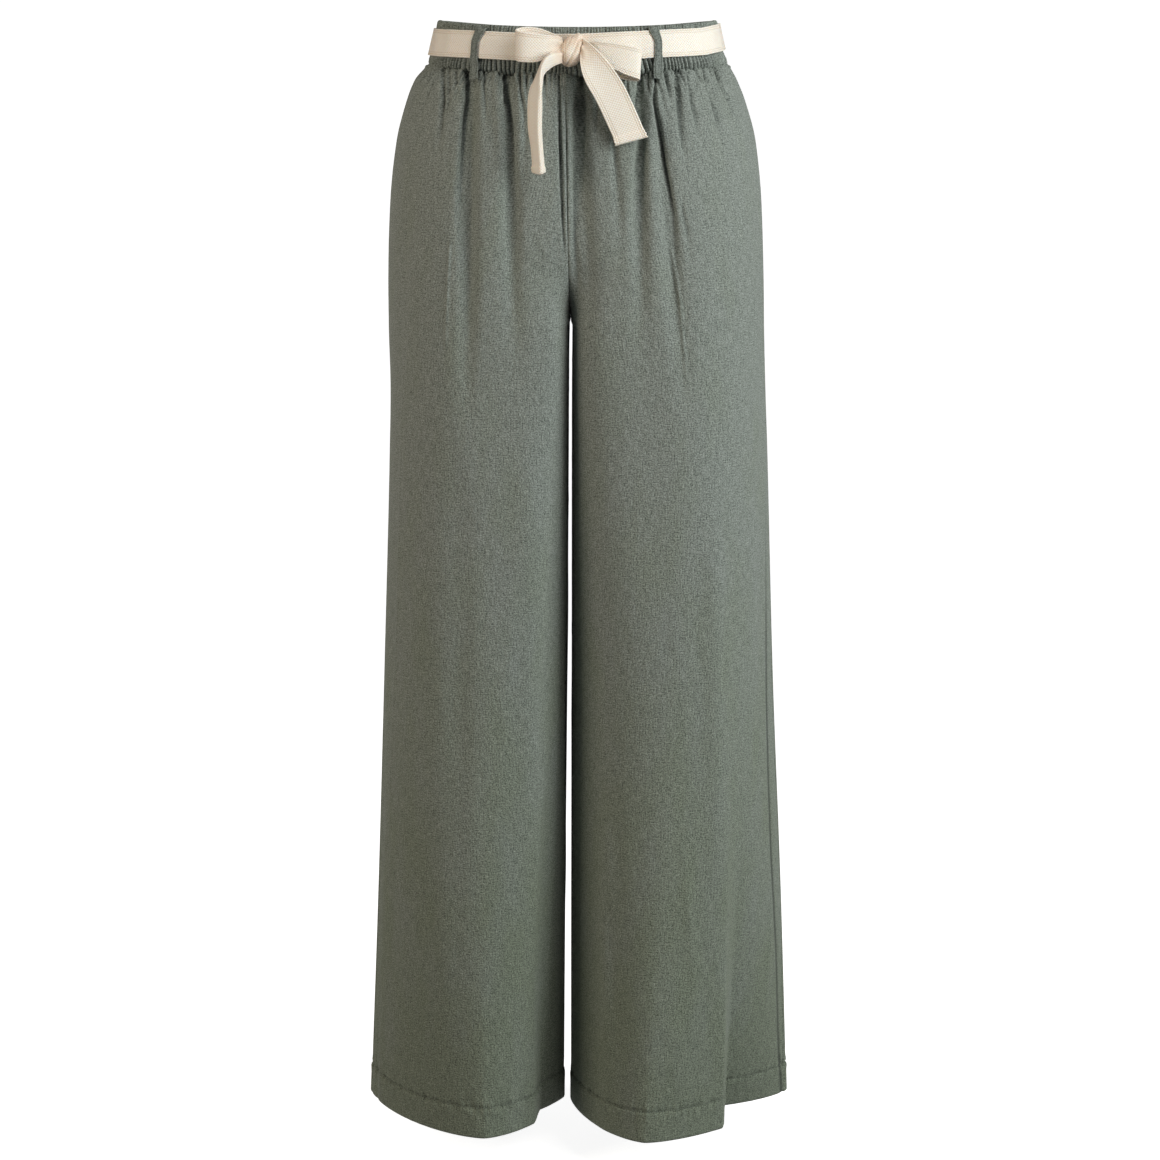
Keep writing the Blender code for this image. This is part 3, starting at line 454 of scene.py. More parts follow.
def new_piece(name, points, faces, finish, uv=None, hollow=None):
    """A smooth mesh piece from points in mm: finish, cloth coordinates and each point's painted shade."""
    mesh = bpy.data.meshes.new(name)
    mesh.from_pydata((np.asarray(points) * MM).tolist(), [], faces)
    mesh.materials.append(finish)
    if uv is not None:
        layer = mesh.uv_layers.new(name="cloth")
        corner = np.empty(len(mesh.loops), dtype=np.int32)
        mesh.loops.foreach_get("vertex_index", corner)
        layer.data.foreach_set("uv", (np.asarray(uv)[corner] * MM).astype(np.float32).ravel())
    if hollow is not None:
        depth = mesh.attributes.new("hollow", "FLOAT", "POINT")
        depth.data.foreach_set("value", np.asarray(hollow, dtype=np.float32).ravel())
    mesh.shade_smooth()
    piece = bpy.data.objects.new(name, mesh)
    bpy.context.scene.collection.objects.link(piece)
    return piece


def quads(rows, columns, first=0, closed=False, flip=False):
    """Faces of a grid of points, row by row, as an array of four indices."""
    r = np.arange(rows - 1)[:, None]
    c = np.arange(columns if closed else columns - 1)[None, :]
    after = (c + 1) % columns
    a = r * columns + c
    b = r * columns + after
    faces = np.stack((a, b, b + columns, a + columns), axis=2).reshape(-1, 4) + first
    return faces[:, ::-1] if flip else faces


def tube_faces(rows, columns, closed=False):
    """Faces of a tube of rings that closes on itself, or is capped at both ends."""
    faces = quads(rows, columns, closed=True).tolist()
    last = (rows - 1) * columns
    if not closed:
        return faces + [list(range(columns))[::-1], list(range(last, rows * columns))]
    column = np.arange(columns)
    after = (column + 1) % columns
    return faces + np.stack((last + column, last + after, after, column), axis=1).tolist()


def turned_outward(piece, weld=0.0):
    """Turns every face of a closed piece outward, after points closer than weld metres are made one."""
    work = bmesh.new()
    work.from_mesh(piece.data)
    if weld:
        bmesh.ops.remove_doubles(work, verts=work.verts, dist=weld)
    bmesh.ops.recalc_face_normals(work, faces=work.faces)
    work.to_mesh(piece.data)
    work.free()
    return piece


def painted_crease_shade(relief, reach, closed=False):
    """Painted crease shade: how far each point lies below the mean of its row within reach columns, as a
    share of the depth at which the shade is full.
    """
    padded = np.pad(relief, ((0, 0), (reach + 1, reach)), mode="wrap" if closed else "edge")
    total = np.cumsum(padded, axis=1)
    mean = (total[:, 2 * reach + 1:] - total[:, :-2 * reach - 1]) / (2 * reach + 1)
    return soft_step((mean - relief - PAINTED_SHADE_FROM) / (PAINTED_SHADE_FULL - PAINTED_SHADE_FROM))


def grid_normals(grid, closed=False):
    """Unit cross product of the ways down and across a grid of points."""
    if closed:
        across = np.roll(grid, -1, axis=1) - np.roll(grid, 1, axis=1)
    else:
        across = np.gradient(grid, axis=1)
    return unit(np.cross(np.gradient(grid, axis=0), across))


def rim(outer, inner, closed=False):
    """Five-sided faces between an outer edge and an inner edge that has half as many steps."""
    steps = len(inner) if closed else len(inner) - 1
    return [(outer[2 * k], outer[2 * k + 1], outer[(2 * k + 2) % len(outer)],
             inner[(k + 1) % len(inner)], inner[k]) for k in range(steps)]


def walled_sheet(name, outer, inner, finish, uv, inner_uv, hollow, closed=False):
    """A cloth piece: a fine outer grid, an inner grid of half the steps, and walls between their edges."""
    rows, columns = outer.shape[:2]
    half_rows, half_columns = inner.shape[:2]
    first = rows * columns
    faces = quads(rows, columns, closed=closed).tolist()
    faces += quads(half_rows, half_columns, first, closed=closed, flip=True).tolist()
    out = np.arange(first).reshape(rows, columns)
    back = first + np.arange(half_rows * half_columns).reshape(half_rows, half_columns)
    edges = [(out[0][::-1], back[0][::-1]), (out[-1], back[-1])]
    if closed:
        edges = [(np.roll(out[0][::-1], 1), np.roll(back[0][::-1], 1)), (out[-1], back[-1])]
    else:
        edges += [(out[:, 0], back[:, 0]), (out[::-1, -1], back[::-1, -1])]
    for edge, under in edges:
        faces += [tuple(int(v) for v in face[::-1]) for face in rim(edge, under, closed)]
    points = np.concatenate((outer.reshape(-1, 3), inner.reshape(-1, 3)))
    cloth = np.concatenate((uv.reshape(-1, 2), inner_uv.reshape(-1, 2)))
    depth = np.concatenate((hollow.ravel(), np.zeros(half_rows * half_columns)))
    return new_piece(name, points, faces, finish, cloth, depth)


# A stitch: a lozenge one unit long, wide and high
STITCH_POINTS = ((-0.5, 0.0, -0.4), (-0.3, -0.5, 0.1), (-0.3, 0.0, 0.8), (-0.3, 0.5, 0.1),
                 (0.3, -0.5, 0.1), (0.3, 0.0, 0.8), (0.3, 0.5, 0.1), (0.5, 0.0, -0.4))
STITCH_FACES = ((0, 2, 1), (0, 3, 2), (0, 1, 3), (1, 2, 5), (1, 5, 4), (2, 3, 6),
                (2, 6, 5), (3, 1, 4), (3, 4, 6), (7, 4, 5), (7, 5, 6), (7, 6, 4))


def stitches(name, points, normals, finish, pitch=3.0, length=2.2, width=0.34, height=0.22):
    """A row of stitches along a line: low six-sided lozenges, one every pitch, laid on the cloth."""
    run = run_along(points)
    places = np.arange(0.5 * pitch, run[-1] - 0.5 * pitch, pitch)
    at = read_along(places, run, points)
    up = unit(read_along(places, run, normals))
    ahead = read_along(places + 0.5, run, points) - read_along(places - 0.5, run, points)
    ahead = unit(ahead - up * np.sum(ahead * up, axis=1, keepdims=True))
    across = np.cross(up, ahead)
    local = np.array(STITCH_POINTS) * (length, width, height)
    cloud = (at[:, None] + local[None, :, :1] * ahead[:, None] + local[None, :, 1:2] * across[:, None]
             + local[None, :, 2:] * up[:, None])
    first = len(STITCH_POINTS) * np.arange(len(places))[:, None, None]
    faces = (np.array(STITCH_FACES)[None] + first).reshape(-1, 3)
    return new_piece(name, cloud.reshape(-1, 3), faces.tolist(), finish)


# ---------------------------------------------------------------- finishes

def linear(code):
    """Linear colour of an sRGB hex value."""
    value = np.array([int(code[k:k + 2], 16) for k in (1, 3, 5)]) / 255.0
    return (*np.where(value <= 0.04045, value / 12.92, ((value + 0.055) / 1.055) ** 2.4).tolist(), 1.0)


def add(tree, kind, inputs=None, stops=(), **settings):
    """One node: its settings, a ramp's stops, and its inputs, each a value or (node, output)."""
    node = tree.nodes.new("ShaderNode" + kind)
    for key, value in settings.items():
        setattr(node, key, value)
    for at, (place, code) in enumerate(stops):
        node.color_ramp.elements[at].position = place
        node.color_ramp.elements[at].color = linear(code)
    for key, value in (inputs or {}).items():
        if isinstance(value, tuple) and isinstance(value[0], bpy.types.Node):
            tree.links.new(value[0].outputs[value[1]], node.inputs[key])
        else:
            node.inputs[key].default_value = value
    return node


def cloth_shader(name, roughness, sheen, sheen_tint):
    """A new material with a Principled shader for a matt cloth that has a soft sheen of loose fibres."""
    made = bpy.data.materials.new(name)
    made.use_nodes = True
    shader = made.node_tree.nodes["Principled BSDF"]
    shader.inputs["Roughness"].default_value = roughness
    shader.inputs["IOR"].default_value = 1.5
    shader.inputs["Specular IOR Level"].default_value = 0.25
    shader.inputs["Sheen Weight"].default_value = sheen
    shader.inputs["Sheen Roughness"].default_value = 0.6
    shader.inputs["Sheen Tint"].default_value = linear(sheen_tint)
    return made, made.node_tree, shader


# Grain of the linen in metres across and along the warp, its lean in degrees and its noise detail. The real
# threads are 0.5 mm apart. They are drawn about 1.2 mm apart, the finest that still shows at this distance.
LINEN_GRAINS = {"warp": (0.0011, 0.012, 0, 2.0), "weft": (0.008, 0.0011, 0, 2.0),
                "nap": (0.0014, 0.0012, 0, 2.0), "slub": (0.0015, 0.0024, 0, 0.0),
                "patch": (0.045, 0.13, 0, 2.0), "crush": (0.012, 0.019, 12, 3.0),
                "crinkle": (0.0026, 0.0095, 24, 2.0)}
# Heights in metres over which the painted shade low on the legs fades out upward
PAINTED_SHADE_FOOT = -1.0
PAINTED_SHADE_TOP = -0.35
# Painted shade: how far the colour in narrow creases is mixed towards near black
CREASE_SHADE = 0.72  # how far the bottom of a narrow crease goes towards the dark


def linen_finish():
    """Linen, plain woven from slubby yarn in light and dark sage and washed soft: matt, mottled, crinkled,
    with painted shade in creases and low on the legs.
    """
    made, tree, shader = cloth_shader("woven_linen", 0.92, 0.12, "#c9cec2")
    cloth = add(tree, "UVMap", uv_map="cloth")
    noise = {}
    for key, (across, along, lean, detail) in LINEN_GRAINS.items():
        spread = add(tree, "Mapping", {"Vector": (cloth, "UV"), "Scale": (across, along, 1.0),
                                       "Rotation": (0.0, 0.0, np.radians(lean))}, vector_type="TEXTURE")
        noise[key] = add(tree, "TexNoise", {"Vector": (spread, "Vector"), "Scale": 1.0, "Detail": detail,
                                            "Roughness": 0.6})
    tones = {"warp": ((0.39, "#4a514b"), (0.61, "#9aa19b")), "weft": ((0.39, "#4e544e"), (0.61, "#969d97")),
             "nap": ((0.38, "#3a413b"), (0.62, "#aab1aa"))}
    tone = {key: add(tree, "ValToRGB", {"Fac": (noise[key], "Fac")}, stops)
            for key, stops in tones.items()}
    threads = add(tree, "Mix", {0: 0.5, 6: (tone["warp"], 0), 7: (tone["weft"], 0)}, data_type="RGBA")
    grainy = add(tree, "Mix", {0: 0.5, 6: (threads, 2), 7: (tone["nap"], 0)}, data_type="RGBA")
    place = add(tree, "TexCoord")
    split = add(tree, "SeparateXYZ", {"Vector": (place, "Object")})
    # Painted shade: darker and warmer towards the foot of the legs, with random paler and darker patches of
    # tone
    height = add(tree, "MapRange", {"Value": (split, "Z"), "From Min": PAINTED_SHADE_FOOT, "From Max": PAINTED_SHADE_TOP})
    wash = add(tree, "Math", {0: (noise["patch"], "Fac"), 1: 1.6, 2: -0.8}, operation="MULTIPLY_ADD")
    patch_tone_and_painted_shade = add(tree, "Math", {0: (height, 0), 1: (wash, 0)}, operation="ADD")
    tint = add(tree, "ValToRGB", {"Fac": (patch_tone_and_painted_shade, 0)}, ((0.0, "#e9edda"), (1.0, "#fcfcfc")))
    shaded = add(tree, "Mix", {0: 1.0, 6: (grainy, 2), 7: (tint, 0)}, data_type="RGBA", blend_type="MULTIPLY")
    pale_slub = add(tree, "MapRange", {"Value": (noise["slub"], "Fac"), "From Min": 0.72, "From Max": 0.82,
                                       "To Max": 0.45})
    flecked = add(tree, "Mix", {0: (pale_slub, 0), 6: (shaded, 2), 7: linear("#b4b9ae")}, data_type="RGBA")
    # Painted shade: the colour goes towards near black where each point's stored crease shade is high
    hollow = add(tree, "Attribute", attribute_name="hollow")
    depth = add(tree, "Math", {0: (hollow, "Fac"), 1: CREASE_SHADE}, operation="MULTIPLY")
    crease_shade_painted = add(tree, "Mix", {0: (depth, 0), 6: (flecked, 2), 7: linear("#1c211e")}, data_type="RGBA")
    tree.links.new(crease_shade_painted.outputs[2], shader.inputs["Base Color"])
    relief = add(tree, "Math", {0: (noise["warp"], "Fac"), 1: (noise["weft"], "Fac")}, operation="ADD")
    nap = add(tree, "Math", {0: (noise["nap"], "Fac"), 1: (relief, 0)}, operation="ADD")
    weave = add(tree, "Bump", {"Height": (nap, 0), "Strength": 0.65, "Distance": 0.0006})
    crinkle = add(tree, "Bump", {"Height": (noise["crinkle"], "Fac"), "Strength": 0.42, "Distance": 0.0014,
                                 "Normal": (weave, "Normal")})
    crush = add(tree, "Bump", {"Height": (noise["crush"], "Fac"), "Strength": 0.5, "Distance": 0.003,
                               "Normal": (crinkle, "Normal")})
    tree.links.new(crush.outputs["Normal"], shader.inputs["Normal"])
    return made


TAPE_HALF = 12.5
KNOT_CENTRE = np.array((-5.6, -107.3, -4.2))
TAPE_PITCH = 1.9  # the diamonds of the weave in mm
TAPE_LINES = (10.7, 8.9)  # sunk lines along both edges, in mm from the tape's middle


def tape_finish():
    """Unbleached cotton tape, woven in small diamonds between two edge lines: matt cream, tan in the weave's
    hollows, with painted warm shade where it leaves the knot.
    """
    made, tree, shader = cloth_shader("woven_cotton_tape", 0.88, 0.6, "#ffeedd")
    shader.inputs["Subsurface Weight"].default_value = 0.2
    shader.inputs["Subsurface Radius"].default_value = (1.0, 0.7, 0.5)
    shader.inputs["Subsurface Scale"].default_value = 0.004
    cloth = add(tree, "UVMap", uv_map="cloth")
    split = add(tree, "SeparateXYZ", {"Vector": (cloth, "UV")})
    ribs = []
    for way in ("X", "Y"):
        angle = add(tree, "Math", {0: (split, way), 1: np.sqrt(2.0) * np.pi / (TAPE_PITCH * MM)},
                    operation="MULTIPLY")
        ribs.append(add(tree, "Math", {0: (angle, 0)}, operation="SINE"))
    basket = add(tree, "Math", {0: (ribs[0], 0), 1: (ribs[1], 0)}, operation="MULTIPLY")
    height = add(tree, "MapRange", {"Value": (basket, 0), "From Min": -1.0, "From Max": 1.0})
    size = add(tree, "Math", {0: (split, "Y")}, operation="ABSOLUTE")
    near = []
    for line in TAPE_LINES:
        off = add(tree, "Math", {0: (size, 0), 1: line * MM}, operation="SUBTRACT")
        near.append(add(tree, "Math", {0: (off, 0)}, operation="ABSOLUTE"))
    away = add(tree, "Math", {0: (near[0], 0), 1: (near[1], 0)}, operation="MINIMUM")
    line = add(tree, "MapRange", {"Value": (away, 0), "From Max": 0.0006, "To Min": 1.0, "To Max": 0.0})
    spread = add(tree, "Mapping", {"Vector": (cloth, "UV"), "Scale": (520.0, 640.0, 1.0)})
    fibre = add(tree, "TexNoise", {"Vector": (spread, "Vector"), "Scale": 1.0, "Detail": 2.0})
    tone = add(tree, "ValToRGB", {"Fac": (height, 0)}, ((0.12, "#e8cfb4"), (0.60, "#fffaf0")))
    speck = add(tree, "ValToRGB", {"Fac": (fibre, "Fac")}, ((0.3, "#f5e9da"), (0.7, "#fffdf9")))
    mixed = add(tree, "Mix", {0: 0.35, 6: (tone, 0), 7: (speck, 0)}, data_type="RGBA")
    share = add(tree, "Math", {0: (line, 0), 1: 0.42}, operation="MULTIPLY")
    colour = add(tree, "Mix", {0: (share, 0), 6: (mixed, 2), 7: linear("#cbb093")}, data_type="RGBA")
    # Painted shade: a warm tan ring on the tape just outside the knot, where the loops and ends leave it
    place = add(tree, "TexCoord")
    knot_way = add(tree, "VectorMath", {0: (place, "Object"), 1: KNOT_CENTRE * MM}, operation="DISTANCE")
    leaving = add(tree, "MapRange", {"Value": (knot_way, "Value"), "From Min": 0.0095, "From Max": 0.0115})
    fading = add(tree, "MapRange", {"Value": (knot_way, "Value"), "From Min": 0.012, "From Max": 0.026,
                                    "To Min": 0.45, "To Max": 0.0})
    hollow = add(tree, "Math", {0: (leaving, 0), 1: (fading, 0)}, operation="MULTIPLY")
    knot_shade_painted = add(tree, "Mix", {0: (hollow, 0), 6: (colour, 2), 7: linear("#d9b491")}, data_type="RGBA")
    tree.links.new(knot_shade_painted.outputs[2], shader.inputs["Base Color"])
    sunk = add(tree, "Math", {0: (height, 0), 1: (line, 0)}, operation="SUBTRACT")
    bump = add(tree, "Bump", {"Height": (sunk, 0), "Strength": 0.5, "Distance": 0.0005})
    fine = add(tree, "Bump", {"Height": (fibre, "Fac"), "Strength": 0.3, "Distance": 0.0004,
                              "Normal": (bump, "Normal")})
    tree.links.new(fine.outputs["Normal"], shader.inputs["Normal"])
    return made


def thread_finish():
    """Polyester core-spun sewing thread dyed to the linen: smoother and a little paler than the cloth."""
    made, tree, shader = cloth_shader("sage_sewing_thread", 0.6, 0.05, "#c9cec2")
    place = add(tree, "TexCoord")
    twist = add(tree, "TexNoise", {"Vector": (place, "Object"), "Scale": 900.0})
    tone = add(tree, "ValToRGB", {"Fac": (twist, "Fac")}, ((0.35, "#6a7168"), (0.65, "#868d82")))
    tree.links.new(tone.outputs[0], shader.inputs["Base Color"])
    return made


linen = linen_finish()
cotton = tape_finish()
thread = thread_finish()

# ---------------------------------------------------------------- leg panels

# Rows of a panel: from which height to which, in how many steps
ROW_BANDS = ((BAND_FOOT - 0.1, -70, 42), (-70, -222, 50), (-222, -270, 36), (-270, -330, 16),
             (-330, -990, 108), (-990, HEM + 1.5, 22), (HEM + 1.5, HEM, 3))
LEVELS = np.concatenate([np.linspace(top, foot, steps + 1)[:-1] for top, foot, steps in ROW_BANDS[:-1]]
                        + [np.linspace(*ROW_BANDS[-1][:2], ROW_BANDS[-1][2])])
SEAM_LINE = 8.0  # distance of the felled side seam's stitching from the panel's edge
# Fine form of a panel: depth or height and half width of each groove or ridge
TOP_ROLL = (1.1, 1.6)
TOP_RIDGE = (1.0, 0.9)
SIDE_GROOVE = (0.55, 1.3)
INNER_GROOVE = (0.7, 1.1)
FELL_GROOVE = (0.75, 1.1)
HEM_GROOVE = (1.1, 1.3)
FELL_RISE = 0.60
HEM_RISE = 0.7
HEM_TUCK_REACH = 8.0
# Seeded creases down a panel: long soft ones and short fine ones
SEEDED_CREASES = (
    {"seed": 31, "count": 26, "reach": (120.0, 420.0), "width": (4.0, 13.0), "rise": 1.5, "z_top": 0},
    {"seed": 51, "count": 60, "reach": (18.0, 60.0), "width": (1.6, 3.2), "rise": 0.45, "z_top": -40},
)


def panel_relief(panel, share, width, plan, z, below, number):
    """Height of the fine form over the plain cloth: sum of seam, hem, gather, crease and crinkle terms."""
    to_side = share * width
    to_inner = (1.0 - share) * width
    relief = -swell(below, TOP_ROLL)
    scallop = 0.5 * np.sin(to_side / 0.66 + 1.3 * np.sin(to_side / 9.0))
    relief += swell(below - 3.0 - scallop, TOP_RIDGE)
    relief += gathers(share, below, width, 11 + number, 38)
    relief += crease_relief(panel, plan[:, :, 0], plan[:, :, 2])
    relief *= soft_step(to_inner / 2.6)
    relief -= swell(to_side, SIDE_GROOVE) + swell(to_inner, INNER_GROOVE)
    pucker = 1.0 + 0.5 * np.sin(z / 2.9 + 1.7 * np.sin(z / 23.0))
    if panel.startswith("front"):
        relief += FELL_RISE * soft_step((SEAM_LINE + 0.8 - to_side) / 1.2)
        relief -= pucker * swell(to_side - SEAM_LINE - 0.5, FELL_GROOVE)
    hem_line = HEM + HEM_TURN
    ripple = np.sin(to_side / 2.4 + 2.0 * np.sin(to_side / 17.0))
    relief -= (1.0 + 0.4 * ripple) * swell(z - hem_line, HEM_GROOVE)
    relief += HEM_RISE * soft_step((hem_line - z) / 2.0)
    tucks = 0.6 * np.sin(to_side / 3.4 + z / 5.0 + 2.0 * np.sin(to_side / 21.0))
    tucks += 0.35 * np.sin(to_side / 1.3 + z / 9.0 + 3.0 * np.sin(to_side / 31.0))
    relief += tucks * bell(z - hem_line, HEM_TUCK_REACH)
    relief -= 0.7 * np.clip(1.0 - (z - HEM) / 1.5, 0.0, 1.0) ** 2
    calm = soft_step(to_side / 14.0) * soft_step(to_inner / 14.0)
    for kind in SEEDED_CREASES:
        relief += calm * creases(to_side, z, number, **kind)
    crush = 0.6 + 0.4 * waves(to_side, z, 71 + number, 4, (60.0, 160.0), 1.5, 1.0)
    relief += calm * crush * waves(to_side, z, 91 + number, 9, (7.0, 19.0), 0.9, 0.09)
    return relief


# The side seam's ridge as it shows from the front: heights and x of its line, how deep it lies (below 0 it
# stands out), and how much painted shade darkens it.
SEAM_LINES = {
    "front_left": ((-380, 177.8), (-522, 179.6), (-571, 180.2), (-620, 180.8), (-694, 183.3), (-769, 187.0),
                   (-819, 190.2), (-869, 193.9), (-968, 198.7), (-1031, 202.2)),
    "front_right": ((-100, -160.0), (-281, -162.6), (-567, -172.8), (-700, -181.0)),
}
SEAM_LINE_DEPTH = {"front_left": 0.6, "front_right": -0.5}
SEAM_LINE_SHADE = {"front_left": 1.2}
SEAM_LINE_HALF = 2.4
SEAM_LINE_FADE_IN = 220.0
SEAM_LINE_FADE_OUT = 60.0
# Painted shade along the hem's sewing line: how dark, and its half width in mm
HEM_LINE_SHADE = 0.35
HEM_LINE_HALF = 1.5


def seam_line(panel, grid, to_side):
    """1 on the side seam's visible line and a Gaussian of the distance along the cloth beside it."""
    if panel not in SEAM_LINES:
        return np.zeros_like(to_side)
    table = np.array(SEAM_LINES[panel], dtype=float)[::-1]
    wanted = np.interp(LEVELS, table[:, 0], table[:, 1])
    rows = np.arange(len(LEVELS))
    x = grid[:, :, 0]
    near = np.clip(np.argmin(np.abs(x - wanted[:, None]), axis=1), 1, x.shape[1] - 2)
    slope = (x[rows, near + 1] - x[rows, near - 1]) / (to_side[rows, near + 1] - to_side[rows, near - 1])
    at = to_side[rows, near] + (wanted - x[rows, near]) / slope
    fade = soft_step((table[-1, 0] - LEVELS) / SEAM_LINE_FADE_IN)
    fade *= soft_step((LEVELS - table[0, 0] + SEAM_LINE_FADE_OUT) / SEAM_LINE_FADE_OUT)
    return fade[:, None] * bell(to_side - at[:, None], SEAM_LINE_HALF)


def panel_piece(panel, number):
    """Leg panel: section curves at every level, cut evenly, lowered by the dip, moved out by the relief."""
    side, face = sides_of(panel)
    columns = PANEL_COLUMNS[panel]
    curves = section_curves(panel, LEVELS)
    plan, length = even_rows(curves, columns, INNER_PACE)
    crown = np.linalg.norm(np.diff(curves[:, :CURVE_SAMPLES], axis=1), axis=2).sum(axis=1)
    z = LEVELS[:, None] + np.zeros((1, columns + 1))
    height = z - dip(plan[:, :, 0], z, face)
    grid = np.concatenate((plan[:, :, :2], height[:, :, None]), axis=2)
    normal = grid_normals(grid) * side * face
    normal[:, 0] = (side, 0.0, 0.0)
    normal[:, -1] = (0.0, face, 0.0)
    normal[LEVELS <= CROTCH, -1] = (-side, 0.0, 0.0)
    share = plan[:, :, 2] / length[:, None]
    relief = panel_relief(panel, share, length[:, None], grid, z, LEVELS[0] - z, number)
    line = seam_line(panel, grid, share * length[:, None])
    relief = relief - SEAM_LINE_DEPTH.get(panel, 0.0) * line
    # Painted shade in the creases, along the side seam's line and along the hem's sewing line
    hollow = painted_crease_shade(relief, PANEL_REACH) + SEAM_LINE_SHADE.get(panel, 0.0) * line
    hollow = np.clip(hollow + HEM_LINE_SHADE * bell(z - HEM - HEM_TURN, HEM_LINE_HALF), 0.0, 1.0)
    outer = grid + normal * relief[:, :, None]
    outer[:, :, 2] = np.where((z > LEVELS[1]) | (z < HEM + 2.0), height, outer[:, :, 2])
    wall = np.where(LEVELS < HEM + HEM_TURN, HEM_WALL, LINEN_WALL)[:, None, None]
    inner = (outer - normal * wall)[::2, ::2]
    inner[:, :, 2] = outer[::2, ::2, 2]
    uv = np.stack((share * length[:, None] - crown[:, None], z + PANEL_UV_STEP * number), axis=2)
    if side * face > 0:
        outer, inner, uv, hollow = outer[:, ::-1], inner[:, ::-1], uv[:, ::-1], hollow[:, ::-1]
    piece = walled_sheet(panel + "_linen", outer, inner, linen, uv, uv[::2, ::2], hollow)
    return piece, grid, normal, share, length


def line_on(grid, normal, rows, columns, offset):
    """Points and normals of a sewing line that runs over a panel's grid and lies offset above it."""
    return grid[rows, columns] + normal[rows, columns] * offset, normal[rows, columns]


panel_pieces = {}
panel_stitches = {}
for number, panel in enumerate(PANELS):
    piece, grid, normal, share, length = panel_piece(panel, number)
    panel_pieces[panel] = piece
    hem_row = int(np.argmin(np.abs(LEVELS - (HEM + HEM_TURN))))
    sewn = [stitches(panel + "_hem_stitches", *line_on(grid, normal, hem_row, slice(None), -0.1), thread)]
    if panel.startswith("front"):
        columns = np.argmin(np.abs(share - (SEAM_LINE + 0.5) / length[:, None]), axis=1)[2:]
        line = line_on(grid, normal, np.arange(2, len(grid)), columns, 0.05)
        sewn.append(stitches(panel + "_side_stitches", *line, thread))
    panel_stitches[panel] = sewn

# ---------------------------------------------------------------- waistband

RIB_COUNT = 188
BAND_COLUMNS = 1680
BAND_ROWS = 29
BAND_WALL = 3.0
BAND_STITCH = 2.8  # height of the band's sewing line over its foot
RIB_DEPTH = 4.2
FINE_RIB_DEPTH = 2.8
BAND_FOOT_ROLL = (1.6, 1.4)  # height and half width, as of the groove under the stitches
BAND_GROOVE = (0.45, 0.7)
SMOOTH_FRONT = (-18.0, 0.0)  # the stretch of the front where the band lies smoother

BELT_HEIGHTS = np.array(((-138, 1.7), (-98, 1.0), (-54, -0.8), (-4, -2.0), (79, 1.8), (112, 2.8), (134, 6.6)))
BELT_BACK_HEIGHT = -6.0
BELT_TURN = 60.0


def belt_height(x, y):
    """Middle height of the belt: its table on the front, a parabola on the back, blended behind the sides."""
    front = np.interp(x, BELT_HEIGHTS[:, 0], BELT_HEIGHTS[:, 1])
    ends = np.interp(x, BELT_HEIGHTS[[0, -1], 0], BELT_HEIGHTS[[0, -1], 1])
    back = BELT_BACK_HEIGHT + (ends - BELT_BACK_HEIGHT) * np.clip(np.abs(x) / WAIST_HALF_WIDTH, 0, 1) ** 2
    return front + (back - front) * soft_step(y / BELT_TURN)


def waist_rings(heights, count):
    """Plain waist at each height: the panels' unfolded curves from the centre front round, cut evenly."""
    levels = np.maximum(np.asarray(heights, dtype=float), BAND_FOOT)
    parts = []
    for panel in ("front_left", "back_left", "back_right", "front_right"):
        plan = section_curves(panel, levels, folded=False)
        drop = dip(plan[:, :, 0], np.full((len(levels), 1), BAND_FOOT), sides_of(panel)[1])
        points = np.concatenate((plan, (np.asarray(heights)[:, None] - drop)[:, :, None]), axis=2)
        parts.append(points[:, ::-1] if panel in ("front_left", "back_right") else points)
    curve = np.concatenate(parts + [parts[0][:, :1]], axis=1)
    points, length = even_rows(curve, count)
    return points[:, :-1, :3], length


def level_outward(rings):
    """Outward directions of closed rings, level in plan."""
    along = np.roll(rings, -1, axis=1) - np.roll(rings, 1, axis=1)
    return unit(np.stack((along[:, :, 1], -along[:, :, 0], 0.0 * along[:, :, 0]), axis=2))


# The turned seam allowance hangs behind the panels' tops, so no light shows through the gathered seam.
SEAM_ALLOWANCE = 4.5
ALLOWANCE_LEAN = 2.6


